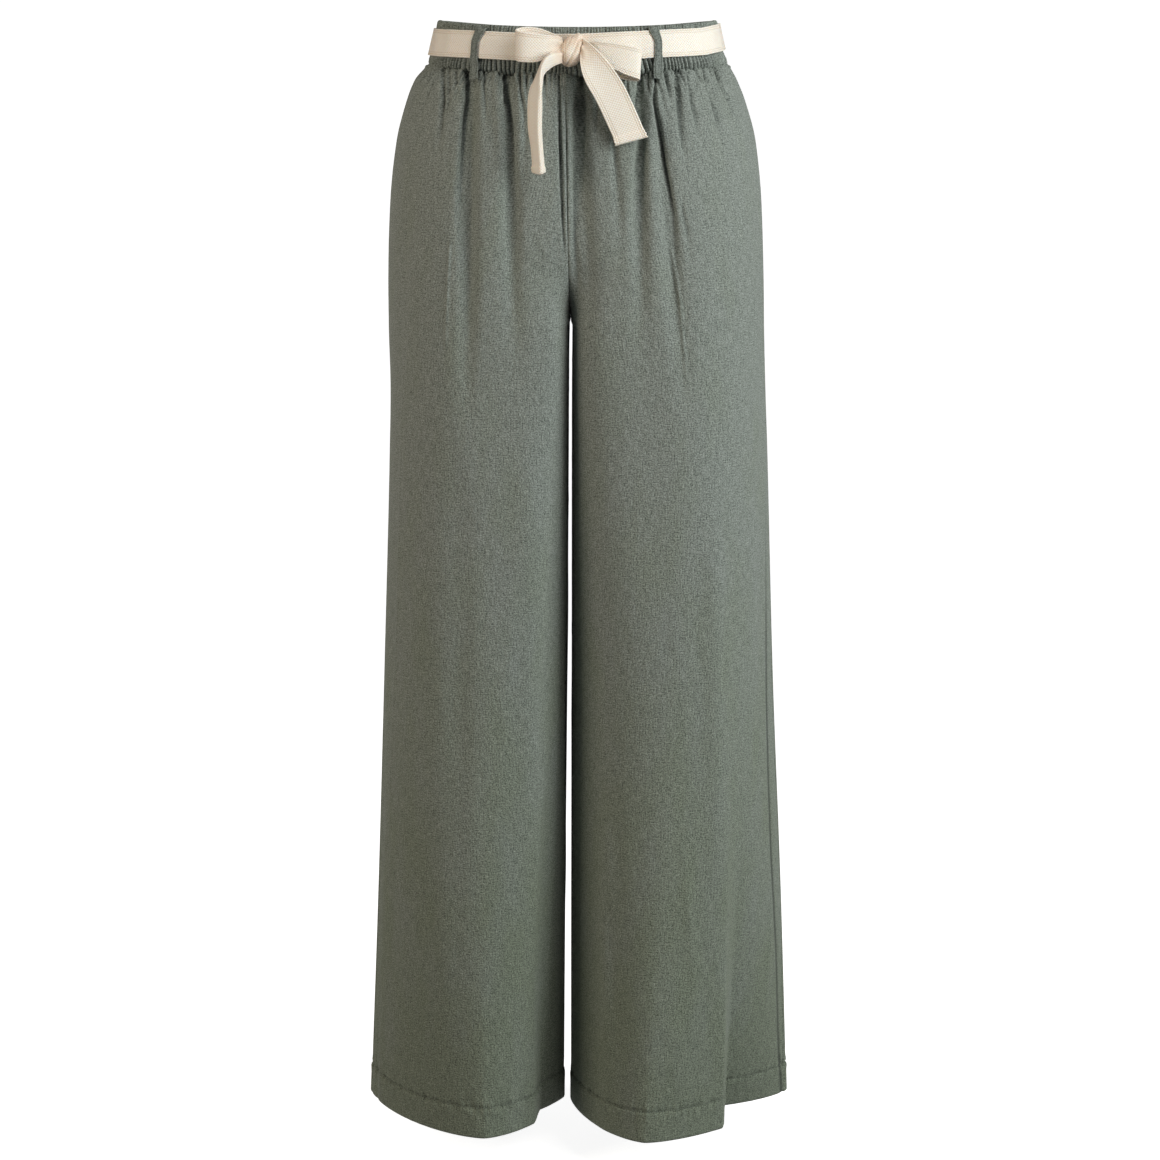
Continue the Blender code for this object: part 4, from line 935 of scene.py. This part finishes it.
def waistband_piece():
    """Gathered band: the plain waist moved out by rounded ribs between narrow creases, finer near the top."""
    heights = np.linspace(BAND_TOP, BAND_FOOT, BAND_ROWS)
    rings, length = waist_rings(heights, BAND_COLUMNS)
    outward = level_outward(rings)
    turn = np.linspace(0.0, 1.0, BAND_COLUMNS, endpoint=False)[None, :]
    z = heights[:, None]
    circle = 2.0 * np.pi * turn
    drift = 0.30 * np.sin(7 * circle + 0.4) + 0.34 * np.sin(13 * circle + 1.9) + 0.22 * np.sin(29 * circle)
    lean = 0.25 * np.sin(11 * circle + z / 17.0) + 0.15 * np.sin(23 * circle - z / 9.0)
    phase = RIB_COUNT * turn + drift + lean
    broad = 1.0 - np.exp(-(np.abs((phase + 0.5) % 1.0 - 0.5) / 0.2) ** 1.5)
    fine = np.abs(np.sin(1.5 * np.pi * phase + 0.9)) ** 0.8
    up = soft_step((z - 4.0) / 9.0)
    size = 0.80 + 0.24 * np.sin(17 * circle + 0.7) * np.cos(5 * circle) + 0.14 * np.sin(41 * circle)
    x = rings[:, :, 0]
    smooth = soft_step((x - SMOOTH_FRONT[0]) / 3.0) * soft_step((SMOOTH_FRONT[1] - x) / 3.0)
    smooth = smooth * (rings[:, :, 1] < 0.0)
    deep = (RIB_DEPTH * (1.0 - up) + FINE_RIB_DEPTH * up) * size * (1.0 - 0.5 * smooth)
    middle = belt_height(rings[:1, :, 0], rings[:1, :, 1])
    belted = soft_step((TAPE_HALF - np.abs(z - middle)) / 2.5)
    rise = deep * ((1.0 - up) * broad + up * (0.4 * broad + 0.6 * fine)) - 0.6 * deep
    rise = rise * (1.0 - 0.4 * belted)
    from_top = BAND_TOP - z
    from_foot = z - BAND_FOOT
    rise -= 1.0 * np.clip(1.0 - from_top / 2.0, 0.0, 1.0) ** 2
    rise -= swell(from_foot, BAND_FOOT_ROLL) + swell(from_foot - BAND_STITCH, BAND_GROOVE)
    outer = rings + outward * rise[:, :, None]
    outer[:, :, 2] -= 0.8 * (broad - 0.5) * bell(from_foot, 1.8)
    inner = (rings - outward * BAND_WALL)[::2, ::2]
    inner[-1] -= outward[-1, ::2] * ALLOWANCE_LEAN
    inner[-1, :, 2] -= SEAM_ALLOWANCE
    run = turn * length[:, None]
    uv = np.stack((run, z + BAND_UV_START + 0.0 * run), axis=2)
    # Painted shade in the creases between the ribs
    hollow = painted_crease_shade(rise, BAND_REACH, closed=True)
    piece = walled_sheet("waistband_linen", outer, inner, linen, uv, uv[::2, ::2], hollow, closed=True)
    row = int(np.argmin(np.abs(heights - (BAND_FOOT + BAND_STITCH))))
    sewn = stitches("waistband_stitches", outer[row] - outward[row] * 0.1, outward[row], thread, pitch=3.2)
    return piece, sewn


waistband, waistband_sewn = waistband_piece()

# ---------------------------------------------------------------- woven tape belt, bow and knot

TAPE_WALL = 1.4
BELT_COLUMNS = 420
BELT_OFFSET = 1.25
TAPE_STEPS = np.sin(np.linspace(-0.5 * np.pi, 0.5 * np.pi, 29))
SELVEDGE = 0.45  # how much thicker the rolled edge of the tape is
PLEAT_WAVES = 6.0
PLEAT_HEIGHT = 0.8
PLEAT_REACH = 9.0


def tape_shell(name, middle, out, wall, run, closed=False):
    """Tape from its middle surface, station by station: its wall to both sides, with thicker rolled edges."""
    lip = (1.0 - np.abs(TAPE_STEPS) ** 30) ** 0.5
    lip *= 1.0 + SELVEDGE * bell(np.abs(TAPE_STEPS) - 0.955, 0.04)
    lip[[0, -1]] = 0.28
    wall = np.broadcast_to(np.asarray(wall, dtype=float), (len(middle),))
    rise = out * (0.5 * wall[:, None] * lip)[:, :, None]
    points = np.concatenate((middle + rise, (middle - rise)[:, ::-1]), axis=1)
    faces = tube_faces(*points.shape[:2], closed)
    across = np.concatenate((TAPE_STEPS, TAPE_STEPS[::-1])) * TAPE_HALF
    uv = np.stack(np.broadcast_arrays(run[:, None], across[None, :]), axis=2).reshape(-1, 2)
    return new_piece(name, points.reshape(-1, 3), faces, cotton, uv)


def tape_surface(centres, across, out, half, curl, pleat=0.0):
    """Middle surface of tape along its centres, bowed by its curl and rippled across where it is pleated."""
    t = TAPE_STEPS[None, :]
    ripple = np.cos(PLEAT_WAVES * t + 0.6) * (1.0 - t**8)
    height = curl[:, None] * (t**2 - 0.5) + np.reshape(pleat, (-1, 1)) * ripple
    aside = across[:, None] * (t * half[:, None])[:, :, None]
    return centres[:, None] + aside + out[:, None] * height[:, :, None]


def belt_piece():
    """Belt: the tape's middle line follows the waist at its own height, a little proud of the ribs."""
    base, length = waist_rings((0.0,), BELT_COLUMNS)
    middle = belt_height(base[0, :, 0], base[0, :, 1])
    levels = np.array((BAND_FOOT, BAND_MIDDLE, BAND_TOP))
    rings, _ = waist_rings(levels, BELT_COLUMNS)
    edges = []
    for side in (-0.5, 0.5):
        wanted = middle + side * 2.0 * TAPE_HALF
        share = np.clip((wanted - rings[0, :, 2]) / (rings[2, :, 2] - rings[0, :, 2]), 0.0, 1.0)
        lower = np.minimum(share * 2.0, 1.0)[:, None]
        upper = np.maximum(share * 2.0 - 1.0, 0.0)[:, None]
        edge = rings[0] + (rings[1] - rings[0]) * lower + (rings[2] - rings[1]) * upper
        edge[:, 2] = wanted
        edges.append(edge)
    centre = 0.5 * (edges[0] + edges[1])
    across = unit(edges[1] - edges[0])
    along = unit(np.roll(centre, -1, axis=0) - np.roll(centre, 1, axis=0))
    out = unit(np.cross(along, across))
    turn = np.linspace(0.0, 2.0 * np.pi, BELT_COLUMNS, endpoint=False)
    ripple = 0.30 * np.sin(19 * turn + 0.6) + 0.22 * np.sin(31 * turn)
    centre = centre + out * (BELT_OFFSET + 0.5 * TAPE_WALL + 0.45 + ripple)[:, None]
    run = np.linspace(0.0, float(length[0]), BELT_COLUMNS, endpoint=False)
    half = np.full(BELT_COLUMNS, TAPE_HALF)
    surface = tape_surface(centre, across, out, half, 0.25 * np.sin(23 * turn))
    return tape_shell("belt_tape", surface, out[:, None], TAPE_WALL, run, closed=True)


belt = belt_piece()

# Stations of the bow: centre, direction across the tape, half of its width and how far its edges curl out.
BOW = {
    "bow_loop_right": (
        (-14.0, -110.0, 0.2, 0, 0, 1, 7.6, 1.6), (-20.0, -112.8, 0.6, 0, 0, 1, 8.8, 1.3),
        (-27.0, -115.8, 0.0, 0, 0, 1, 10.2, 0.8), (-37.0, -117.4, -1.2, 0, 0, 1, 12.6, 0.2),
        (-47.0, -117.4, -0.6, 0, 0, 1, 13.3, 0.0), (-53.0, -115.2, 0.2, 0, 0, 1, 13.6, 0.0),
        (-55.4, -111.2, 1.4, 0, 0, 1, 13.6, 0.0), (-52.6, -107.4, 3.0, 0, 0, 1, 13.4, 0.0),
        (-44.0, -104.9, 4.2, 0, 0, 1, 13.2, 0.0), (-33.0, -104.4, 3.0, 0, 0, 1, 12.6, 0.0),
        (-24.0, -104.9, 1.2, 0, 0, 1, 11.0, -0.2), (-14.5, -106.2, -0.6, 0, 0, 1, 8.8, -0.6),
    ),
    "bow_loop_left": (
        (3.4, -110.4, -3.4, 0, 0, 1, 7.0, 1.8), (9.0, -112.8, -3.6, 0, 0, 1, 7.6, 1.8),
        (17.0, -115.8, -4.4, 0.04, 0, 1, 8.8, 1.4), (30.0, -117.8, -7.6, 0.08, 0, 1, 11.0, 0.5),
        (43.0, -118.2, -11.7, 0.08, 0, 1, 13.0, 0.0), (52.4, -116.4, -14.3, 0.06, 0, 1, 13.6, 0.0),
        (56.0, -112.0, -16.0, 0.06, 0, 1, 13.7, 0.0), (51.0, -108.2, -17.6, 0.06, 0, 1, 13.6, 0.0),
        (38.0, -106.2, -15.6, 0.05, 0, 1, 12.8, 0.0), (22.0, -105.2, -9.6, 0.04, 0, 1, 11.0, -0.2),
        (3.6, -106.4, -4.0, 0, 0, 1, 8.2, -0.6),
    ),
    "belt_end_left": (
        (3.8, -114.6, 0.4, 0.2, 0.1, 1, 6.8, 0.6), (7.4, -118.2, -6.8, 0.52, 0.1, 0.85, 9.8, 1.4),
        (12.6, -120.8, -15.6, 0.68, 0, 0.73, 12.2, 1.9), (19.2, -121.8, -25.6, 0.80, 0, 0.6, 13.8, 1.4),
        (28.8, -121.8, -41.0, 0.88, 0, 0.47, 14.3, 0.6), (38.6, -120.6, -61.5, 0.93, 0, 0.37, 14.3, 0.1),
        (45.4, -119.8, -76.8, 0.955, 0, 0.3, 14.2, 0.0), (48.4, -119.6, -84.4, 0.965, 0, 0.26, 14.5, 0.0),
    ),
}
# The right end is folded along its length: its outer edge, the fold and its inner edge, station by station.
FOLDED_END = (
    ((-13.6, -112.0, -4.8), (-13.6, -114.0, -6.3), (-13.6, -112.0, -14.6)),
    ((-20.3, -117.0, -4.9), (-20.2, -119.5, -6.6), (-18.3, -116.0, -15.8)),
    ((-24.9, -121.0, -6.2), (-24.2, -124.0, -7.5), (-23.6, -118.0, -18.4)),
    ((-29.1, -123.0, -9.5), (-28.5, -128.0, -10.9), (-27.8, -120.0, -21.6)),
    ((-32.1, -123.0, -13.9), (-31.2, -130.0, -14.8), (-30.4, -121.0, -24.4)),
    ((-35.2, -120.0, -20.9), (-32.9, -132.0, -21.0), (-31.5, -124.0, -27.3)),
    ((-38.8, -118.0, -29.4), (-33.7, -134.0, -29.3), (-31.8, -130.0, -31.7)),
    ((-42.8, -117.0, -37.3), (-34.1, -136.0, -37.3), (-32.0, -134.5, -39.3)),
    ((-44.8, -118.5, -50.4), (-34.9, -137.0, -49.9), (-32.0, -133.5, -51.0)),
    ((-44.6, -119.5, -71.4), (-35.5, -138.0, -71.1), (-32.3, -134.0, -71.8)),
    ((-42.0, -121.5, -89.7), (-34.7, -139.0, -89.1), (-31.4, -135.0, -89.4)),
    ((-40.7, -122.5, -106.7), (-33.4, -139.5, -106.1), (-29.8, -135.5, -106.6)),
    ((-40.2, -122.5, -112.3), (-33.1, -139.5, -112.9), (-29.0, -135.5, -110.9)),
)
BOW_STEPS = 14
END_HEM = 8.0  # the tape's cut end is folded over twice and sewn


def smooth_rows(rows, steps):
    """Rows read between the given ones on Catmull-Rom curves, steps to each span."""
    table = np.array(rows, dtype=float)
    padded = np.vstack((2.0 * table[0] - table[1], table, 2.0 * table[-1] - table[-2]))
    t = (np.arange(steps) / steps)[None, :, None]
    p0, p1, p2, p3 = (padded[k:k + len(table) - 1][:, None] for k in range(4))
    made = 0.5 * (2.0 * p1 + (p2 - p0) * t + (2.0 * p0 - 5.0 * p1 + 4.0 * p2 - p3) * t**2
                  + (3.0 * p1 - p0 - 3.0 * p2 + p3) * t**3)
    return np.vstack((made.reshape(-1, table.shape[1]), table[-1:]))


def hemmed(run):
    """Wall thickness and widening along a hanging end: doubled at the sewn hem and rounded off at the cut."""
    into = run - run[-1] + END_HEM
    wall = TAPE_WALL + 1.2 * soft_step(into / 0.8)
    rounded = np.sqrt(np.clip((run[-1] - run + 0.05) / 1.4, 0.05, 1.0))
    return wall * rounded, soft_step(into / 2.0) * (0.6 + 0.35 * np.sin(run * 1.9))


def bow_piece(name):
    """Bow loop or hanging end: the tape along smoothed stations, pleated where it enters the knot."""
    rows = smooth_rows(BOW[name], BOW_STEPS)
    centres, across, half, curl = rows[:, :3], unit(rows[:, 3:6]), rows[:, 6], rows[:, 7]
    out = unit(np.cross(np.gradient(centres, axis=0), across))
    run = run_along(centres)
    wall = TAPE_WALL
    pleat = PLEAT_HEIGHT * bell(run, PLEAT_REACH)
    if name == "belt_end_left":
        wall, wider = hemmed(run)
        half = half + wider
    else:
        pleat = pleat + PLEAT_HEIGHT * bell(run[-1] - run, PLEAT_REACH)
    surface = tape_surface(centres, across, out, half, curl, pleat)
    return tape_shell(name + "_tape", surface, out[:, None], wall, run)


def folded_end_piece():
    """The other hanging end: two straight parts that meet in a soft fold, which wanders to the inner edge."""
    lines = smooth_rows(np.reshape(FOLDED_END, (-1, 9)), BOW_STEPS)
    outer, fold, inner = np.moveaxis(lines.reshape(-1, 3, 3), 1, 0)
    long_part = np.linalg.norm(fold - outer, axis=1)[:, None]
    short_part = np.linalg.norm(inner - fold, axis=1)[:, None]
    at = (TAPE_STEPS[None, :] + 1.0) * 0.5 * (long_part + short_part)
    first = np.clip(at / long_part, 0.0, 1.0)[:, :, None]
    second = np.clip((at - long_part) / short_part, 0.0, 1.0)[:, :, None]
    middle = (outer[:, None] * (1.0 - first) + fold[:, None] * (first - second) + inner[:, None] * second)
    for _ in range(3):
        middle[:, 1:-1] = 0.25 * middle[:, :-2] + 0.5 * middle[:, 1:-1] + 0.25 * middle[:, 2:]
    run = run_along(fold)
    wall, wider = hemmed(run)
    middle += (middle - fold[:, None]) * (0.04 * wider)[:, None, None]
    return tape_shell("belt_end_right_tape", middle, grid_normals(middle), wall, run)


bow_pieces = {name: bow_piece(name) for name in BOW}
bow_pieces["belt_end_right"] = folded_end_piece()

KNOT_HALF = np.array((9.8, 9.8, 13.9))
KNOT_POWER = 2.5
KNOT_SLANT = 0.34
KNOT_FOLDS = ((4.6, (0.9, 1.6)), (2.0, (-1.3, 1.0)), (-6.4, (-0.7, 0.9)))  # place, then height and half width
KNOT_ROWS = 72
KNOT_COLUMNS = 96


def knot_piece():
    """Knot: a superellipsoid with soft lengthwise folds, leaning a little and raised at its top turn."""
    polar = np.linspace(0.0, np.pi, KNOT_ROWS)[:, None]
    angle = np.linspace(0.0, 2.0 * np.pi, KNOT_COLUMNS, endpoint=False)[None, :]
    direction = np.stack((np.sin(polar) * np.cos(angle), np.sin(polar) * np.sin(angle),
                          np.cos(polar) + 0.0 * angle), axis=2)
    size = np.sum(np.abs(direction) ** KNOT_POWER, axis=2) ** (-1.0 / KNOT_POWER)
    points = direction * size[:, :, None] * KNOT_HALF
    x, z = points[:, :, 0], points[:, :, 2]
    front = soft_step(-direction[:, :, 1] / 0.4)
    slant = x - KNOT_SLANT * z
    rise = sum(swell(slant - at, form) for at, form in KNOT_FOLDS) + 0.12 * np.sin(slant / 1.1)
    points += unit(direction) * (front * rise)[:, :, None]
    points[:, :, 0] += 0.16 * z + 2.6 * bell(z - 13.0, 4.0) * soft_step((x + 2.0) / 6.0)
    points[:, :, 2] += 2.4 * bell(x - 6.5, 3.2) * soft_step(z / 12.0)
    points += KNOT_CENTRE
    faces = quads(KNOT_ROWS, KNOT_COLUMNS, closed=True).tolist()
    uv = np.stack((KNOT_CENTRE[2] - z * 1.25, x * 0.8 + 0.0 * angle), axis=2)
    piece = new_piece("belt_knot_tape", points.reshape(-1, 3), faces, cotton, uv.reshape(-1, 2))
    return turned_outward(piece, weld=1e-6)


knot = knot_piece()

# ---------------------------------------------------------------- belt loops

LOOP_WIDTH = 8.8
LOOP_WALL = 1.4
# Painted shade over the whole loop, and more of it in the grooves under the stitches
LOOP_SHADE = 0.2
LOOP_GROOVE = 0.35
LOOP_GROOVE_SHADE = 1.6
LOOP_STITCH_SIDE = 0.62  # share of the half width at which both rows of stitches run
# Panel, x of the strip's middle at its top and foot, and how far its folded top spreads to the middle
LOOPS = {
    "belt_loop_front_right": ("front_right", -90.4, -93.2, 4.7),
    "belt_loop_front_left": ("front_left", 71.0, 71.5, -4.1),
    "belt_loop_back_right": ("back_right", -80.0, -82.0, 1.6),
    "belt_loop_back_left": ("back_left", 78.0, 80.0, -1.6),
}
LOOP_FLARE_TOP = 17.0
LOOP_FLARE_FOOT = 1.0
# Height above the belt's middle and distance of the strip's inner side from the plain waist
LOOP_STATIONS = ((15.2, 1.3), (15.6, 2.6), (14.4, 3.7), (11.0, 4.1), (0.0, 4.2), (-11.0, 4.1), (-14.2, 3.6),
                 (-17.0, 2.3), (-21.0, 2.2), (-26.0, 2.4), (-29.4, 2.3), (-30.4, 1.6))
LOOP_ROWS = 7
LOOP_STITCH = (2.3, 1.7, 0.32, 0.2)  # pitch, length, width and height
TACK_STITCH = (0.8, 1.3, 0.9, 0.35)


def waist_surface(panel, x, z):
    """Points and outward directions of the plain cloth at one x and several heights."""
    face = sides_of(panel)[1]
    curves = section_curves(panel, z + dip(x, z, face), folded=False)[:, :CURVE_SAMPLES + 1]
    rows = np.arange(len(curves))
    near = np.argmin(np.abs(curves[:, :, 0] - x[:, None]), axis=1)
    near = np.clip(near, 1, CURVE_SAMPLES - 1)
    ahead, behind = curves[rows, near + 1], curves[rows, near - 1]
    slope = (ahead[:, 1] - behind[:, 1]) / (ahead[:, 0] - behind[:, 0])
    y = curves[rows, near, 1] + slope * (x - curves[rows, near, 0])
    out = unit(np.stack((-face * slope, face * np.ones_like(x), np.zeros_like(x)), axis=1))
    return np.stack((x, y, z), axis=1), out


def loop_piece(name):
    """Belt loop: a narrow folded strip that stands over the belt, with two rows of stitches and a tack."""
    panel, x_top, x_foot, spread = LOOPS[name]
    rows = smooth_rows(LOOP_STATIONS, LOOP_ROWS)
    above, distance = rows[:, 0], rows[:, 1]
    side_y = sides_of(panel)[1] * WAIST_HALF_WIDTH
    middle = belt_height(np.array(x_top), np.array(side_y))
    top, foot = LOOP_STATIONS[0][0], LOOP_STATIONS[-1][0]
    flare = soft_step((above - LOOP_FLARE_FOOT) / (LOOP_FLARE_TOP - LOOP_FLARE_FOOT))
    x = x_top + (top - above) / (top - foot) * (x_foot - x_top) + spread * flare
    points, out = waist_surface(panel, x, middle + above)
    centres = points + out * (distance + 0.5 * LOOP_WALL)[:, None]
    along = unit(np.gradient(centres, axis=0))
    across = unit(np.cross(out, along))
    across *= np.sign(across[:, :1] + 1e-9)
    over = unit(np.cross(along, across))
    over *= np.sign(np.sum(over * out, axis=1, keepdims=True) + 1e-9)
    half = 0.5 * LOOP_WIDTH - 0.8 * soft_step((above + 14.0) / 6.0) + 0.4 * np.abs(spread) * flare**2
    piece = strip_surface(name + "_linen", centres, across, over, half)
    sewn = []
    for tag, place in (("inner", -LOOP_STITCH_SIDE), ("outer", LOOP_STITCH_SIDE)):
        line = centres + across * (place * half)[:, None] + over * (0.5 * LOOP_WALL - 0.02)
        keep = slice(2 * LOOP_ROWS, -LOOP_ROWS)
        sewn.append(stitches(name + "_" + tag + "_stitches", line[keep], over[keep], thread, *LOOP_STITCH))
    at = -2 * LOOP_ROWS
    tack = centres[at] + over[at] * (0.5 * LOOP_WALL) + across[at] * np.linspace(-4.0, 4.0, 9)[:, None]
    sewn.append(stitches(name + "_tack_stitches", tack, np.tile(over[at], (9, 1)), thread, *TACK_STITCH))
    return piece, sewn


def strip_surface(name, centres, across, over, half):
    """Linen strip: a round-edged section, with a groove under each row of stitches, along its centres."""
    top = np.linspace(-1.0, 1.0, 19)
    t = np.concatenate((top, top[::-1]))
    face = np.concatenate((np.ones(19), -np.ones(19)))
    lip = (1.0 - np.abs(t) ** 10) ** 0.5
    lip[np.abs(t) > 0.999] = 0.3
    groove = LOOP_GROOVE * (bell(t - LOOP_STITCH_SIDE, 0.09) + bell(t + LOOP_STITCH_SIDE, 0.09)) * (face > 0)
    height = face * 0.5 * LOOP_WALL * lip - groove
    points = centres[:, None] + across[:, None] * (t[None, :] * half[:, None])[:, :, None]
    points = points + over[:, None] * height[None, :, None]
    faces = tube_faces(*points.shape[:2])
    run = run_along(centres)[:, None] + LOOP_UV_START
    uv = np.stack((t[None, :] * half[:, None], run + 0.0 * t[None, :]), axis=2)
    # Painted shade: even over the strip, deeper in the stitch grooves
    hollow = LOOP_SHADE + LOOP_GROOVE_SHADE * groove + np.zeros((len(points), 1))
    return new_piece(name, points.reshape(-1, 3), faces, linen, uv.reshape(-1, 2), hollow)


loop_pieces = {name: loop_piece(name) for name in LOOPS}

# ---------------------------------------------------------------- what rides and replaces

every_stitch = [s for group in panel_stitches.values() for s in group] + [waistband_sewn]
every_stitch += [s for _, group in loop_pieces.values() for s in group]
cloth_pieces = {**panel_pieces, "waistband": waistband, "belt": belt, "belt_knot": knot, **bow_pieces,
                **{name: piece for name, (piece, _) in loop_pieces.items()}}
for node, piece in cloth_pieces.items():
    turned_outward(piece)
    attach(piece, "root")
    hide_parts(node)
for sewn in every_stitch:
    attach(sewn, "root")

# ---------------------------------------------------------------- floor, light and camera

# In metres
FLOOR_HEIGHT = -1.075
FLOOR_BACK = 4.0
SWEEP_BEND = 1.2
SWEEP_REACH = 6.0
LAMP_AIM = (0.0, 0.0, -0.35)
SOFTBOX_SIZE = (1.0, 1.2)


def studio_finish(name, code, glow):
    """Matt white studio paper that glows a little, so that it gives back a near white with a faint shadow."""
    made, tree, shader = cloth_shader(name, 0.95, 0.0, "#ffffff")
    place = add(tree, "TexCoord")
    fibre = add(tree, "TexNoise", {"Vector": (place, "Object"), "Scale": 40.0})
    tone = add(tree, "ValToRGB", {"Fac": (fibre, "Fac")}, ((0.3, code), (0.7, "#ffffff")))
    tree.links.new(tone.outputs[0], shader.inputs["Base Color"])
    shader.inputs["Emission Color"].default_value = linear("#ffffff")
    shader.inputs["Emission Strength"].default_value = glow
    return made


def studio_sweep():
    """Floor that runs into an upright backdrop on a quarter circle."""
    turn = np.linspace(0.0, 0.5 * np.pi, 25)
    curve = np.column_stack((FLOOR_BACK + SWEEP_BEND * np.sin(turn), SWEEP_BEND * (1.0 - np.cos(turn))))
    profile = np.vstack(([[-SWEEP_REACH, 0.0]], curve, [[FLOOR_BACK + SWEEP_BEND, SWEEP_REACH]]))
    rows = [np.column_stack((np.full(len(profile), x), profile[:, 0], profile[:, 1] + FLOOR_HEIGHT))
            for x in (-SWEEP_REACH, SWEEP_REACH)]
    points = np.stack(rows, axis=1) / MM
    faces = quads(len(profile), 2, flip=True).tolist()
    paper = studio_finish("matt_white_paper", "#f4f4f2", 0.9)
    sweep = new_piece("studio_sweep", points.reshape(-1, 3), faces, paper)
    sweep.visible_diffuse = False


def softbox(name, place, power, tint):
    """A soft studio light: an area lamp that faces the middle of the garment."""
    data = bpy.data.lights.new(name, "AREA")
    data.shape = "RECTANGLE"
    data.size, data.size_y = SOFTBOX_SIZE
    data.energy = power
    data.color = linear(tint)[:3]
    lamp = bpy.data.objects.new(name, data)
    lamp.location = place
    lamp.rotation_euler = (Vector(LAMP_AIM) - Vector(place)).to_track_quat("-Z", "Y").to_euler()
    bpy.context.scene.collection.objects.link(lamp)


studio_sweep()
softbox("key_softbox", (1.645, -0.95, 0.20), 30.0, "#fafffd")
softbox("high_softbox", (1.09, -1.556, 1.10), 18.0, "#fffdfa")
softbox("fill_softbox", (-1.645, -0.95, 0.20), 18.0, "#fff1de")

AIR_GLOW = 0.07
world = bpy.data.worlds.new("studio_air")
world.use_nodes = True
air = world.node_tree
ray = add(air, "LightPath")
glow = add(air, "MapRange", {"Value": (ray, "Is Camera Ray"), "To Min": AIR_GLOW, "To Max": 1.0})
air.links.new(glow.outputs[0], air.nodes["Background"].inputs["Strength"])
air.nodes["Background"].inputs["Color"].default_value = linear("#ffffff")
bpy.context.scene.world = world

FRAME_SIDE = 1160.0
FOCAL_LENGTH_PX = 3175.0
SENSOR = 36.0
CAMERA_PITCH = 10.73
CAMERA_PLACE = (0.0019, -3.0, 0.06)
camera_data = bpy.data.cameras.new("camera")
camera_data.sensor_width = SENSOR
camera_data.lens = FOCAL_LENGTH_PX / FRAME_SIDE * SENSOR
camera = bpy.data.objects.new("camera", camera_data)
camera.location = CAMERA_PLACE
camera.rotation_euler = (np.radians(90.0 - CAMERA_PITCH), 0.0, 0.0)
bpy.context.scene.collection.objects.link(camera)
bpy.context.scene.camera = camera
bpy.context.scene.view_settings.view_transform = "Standard"
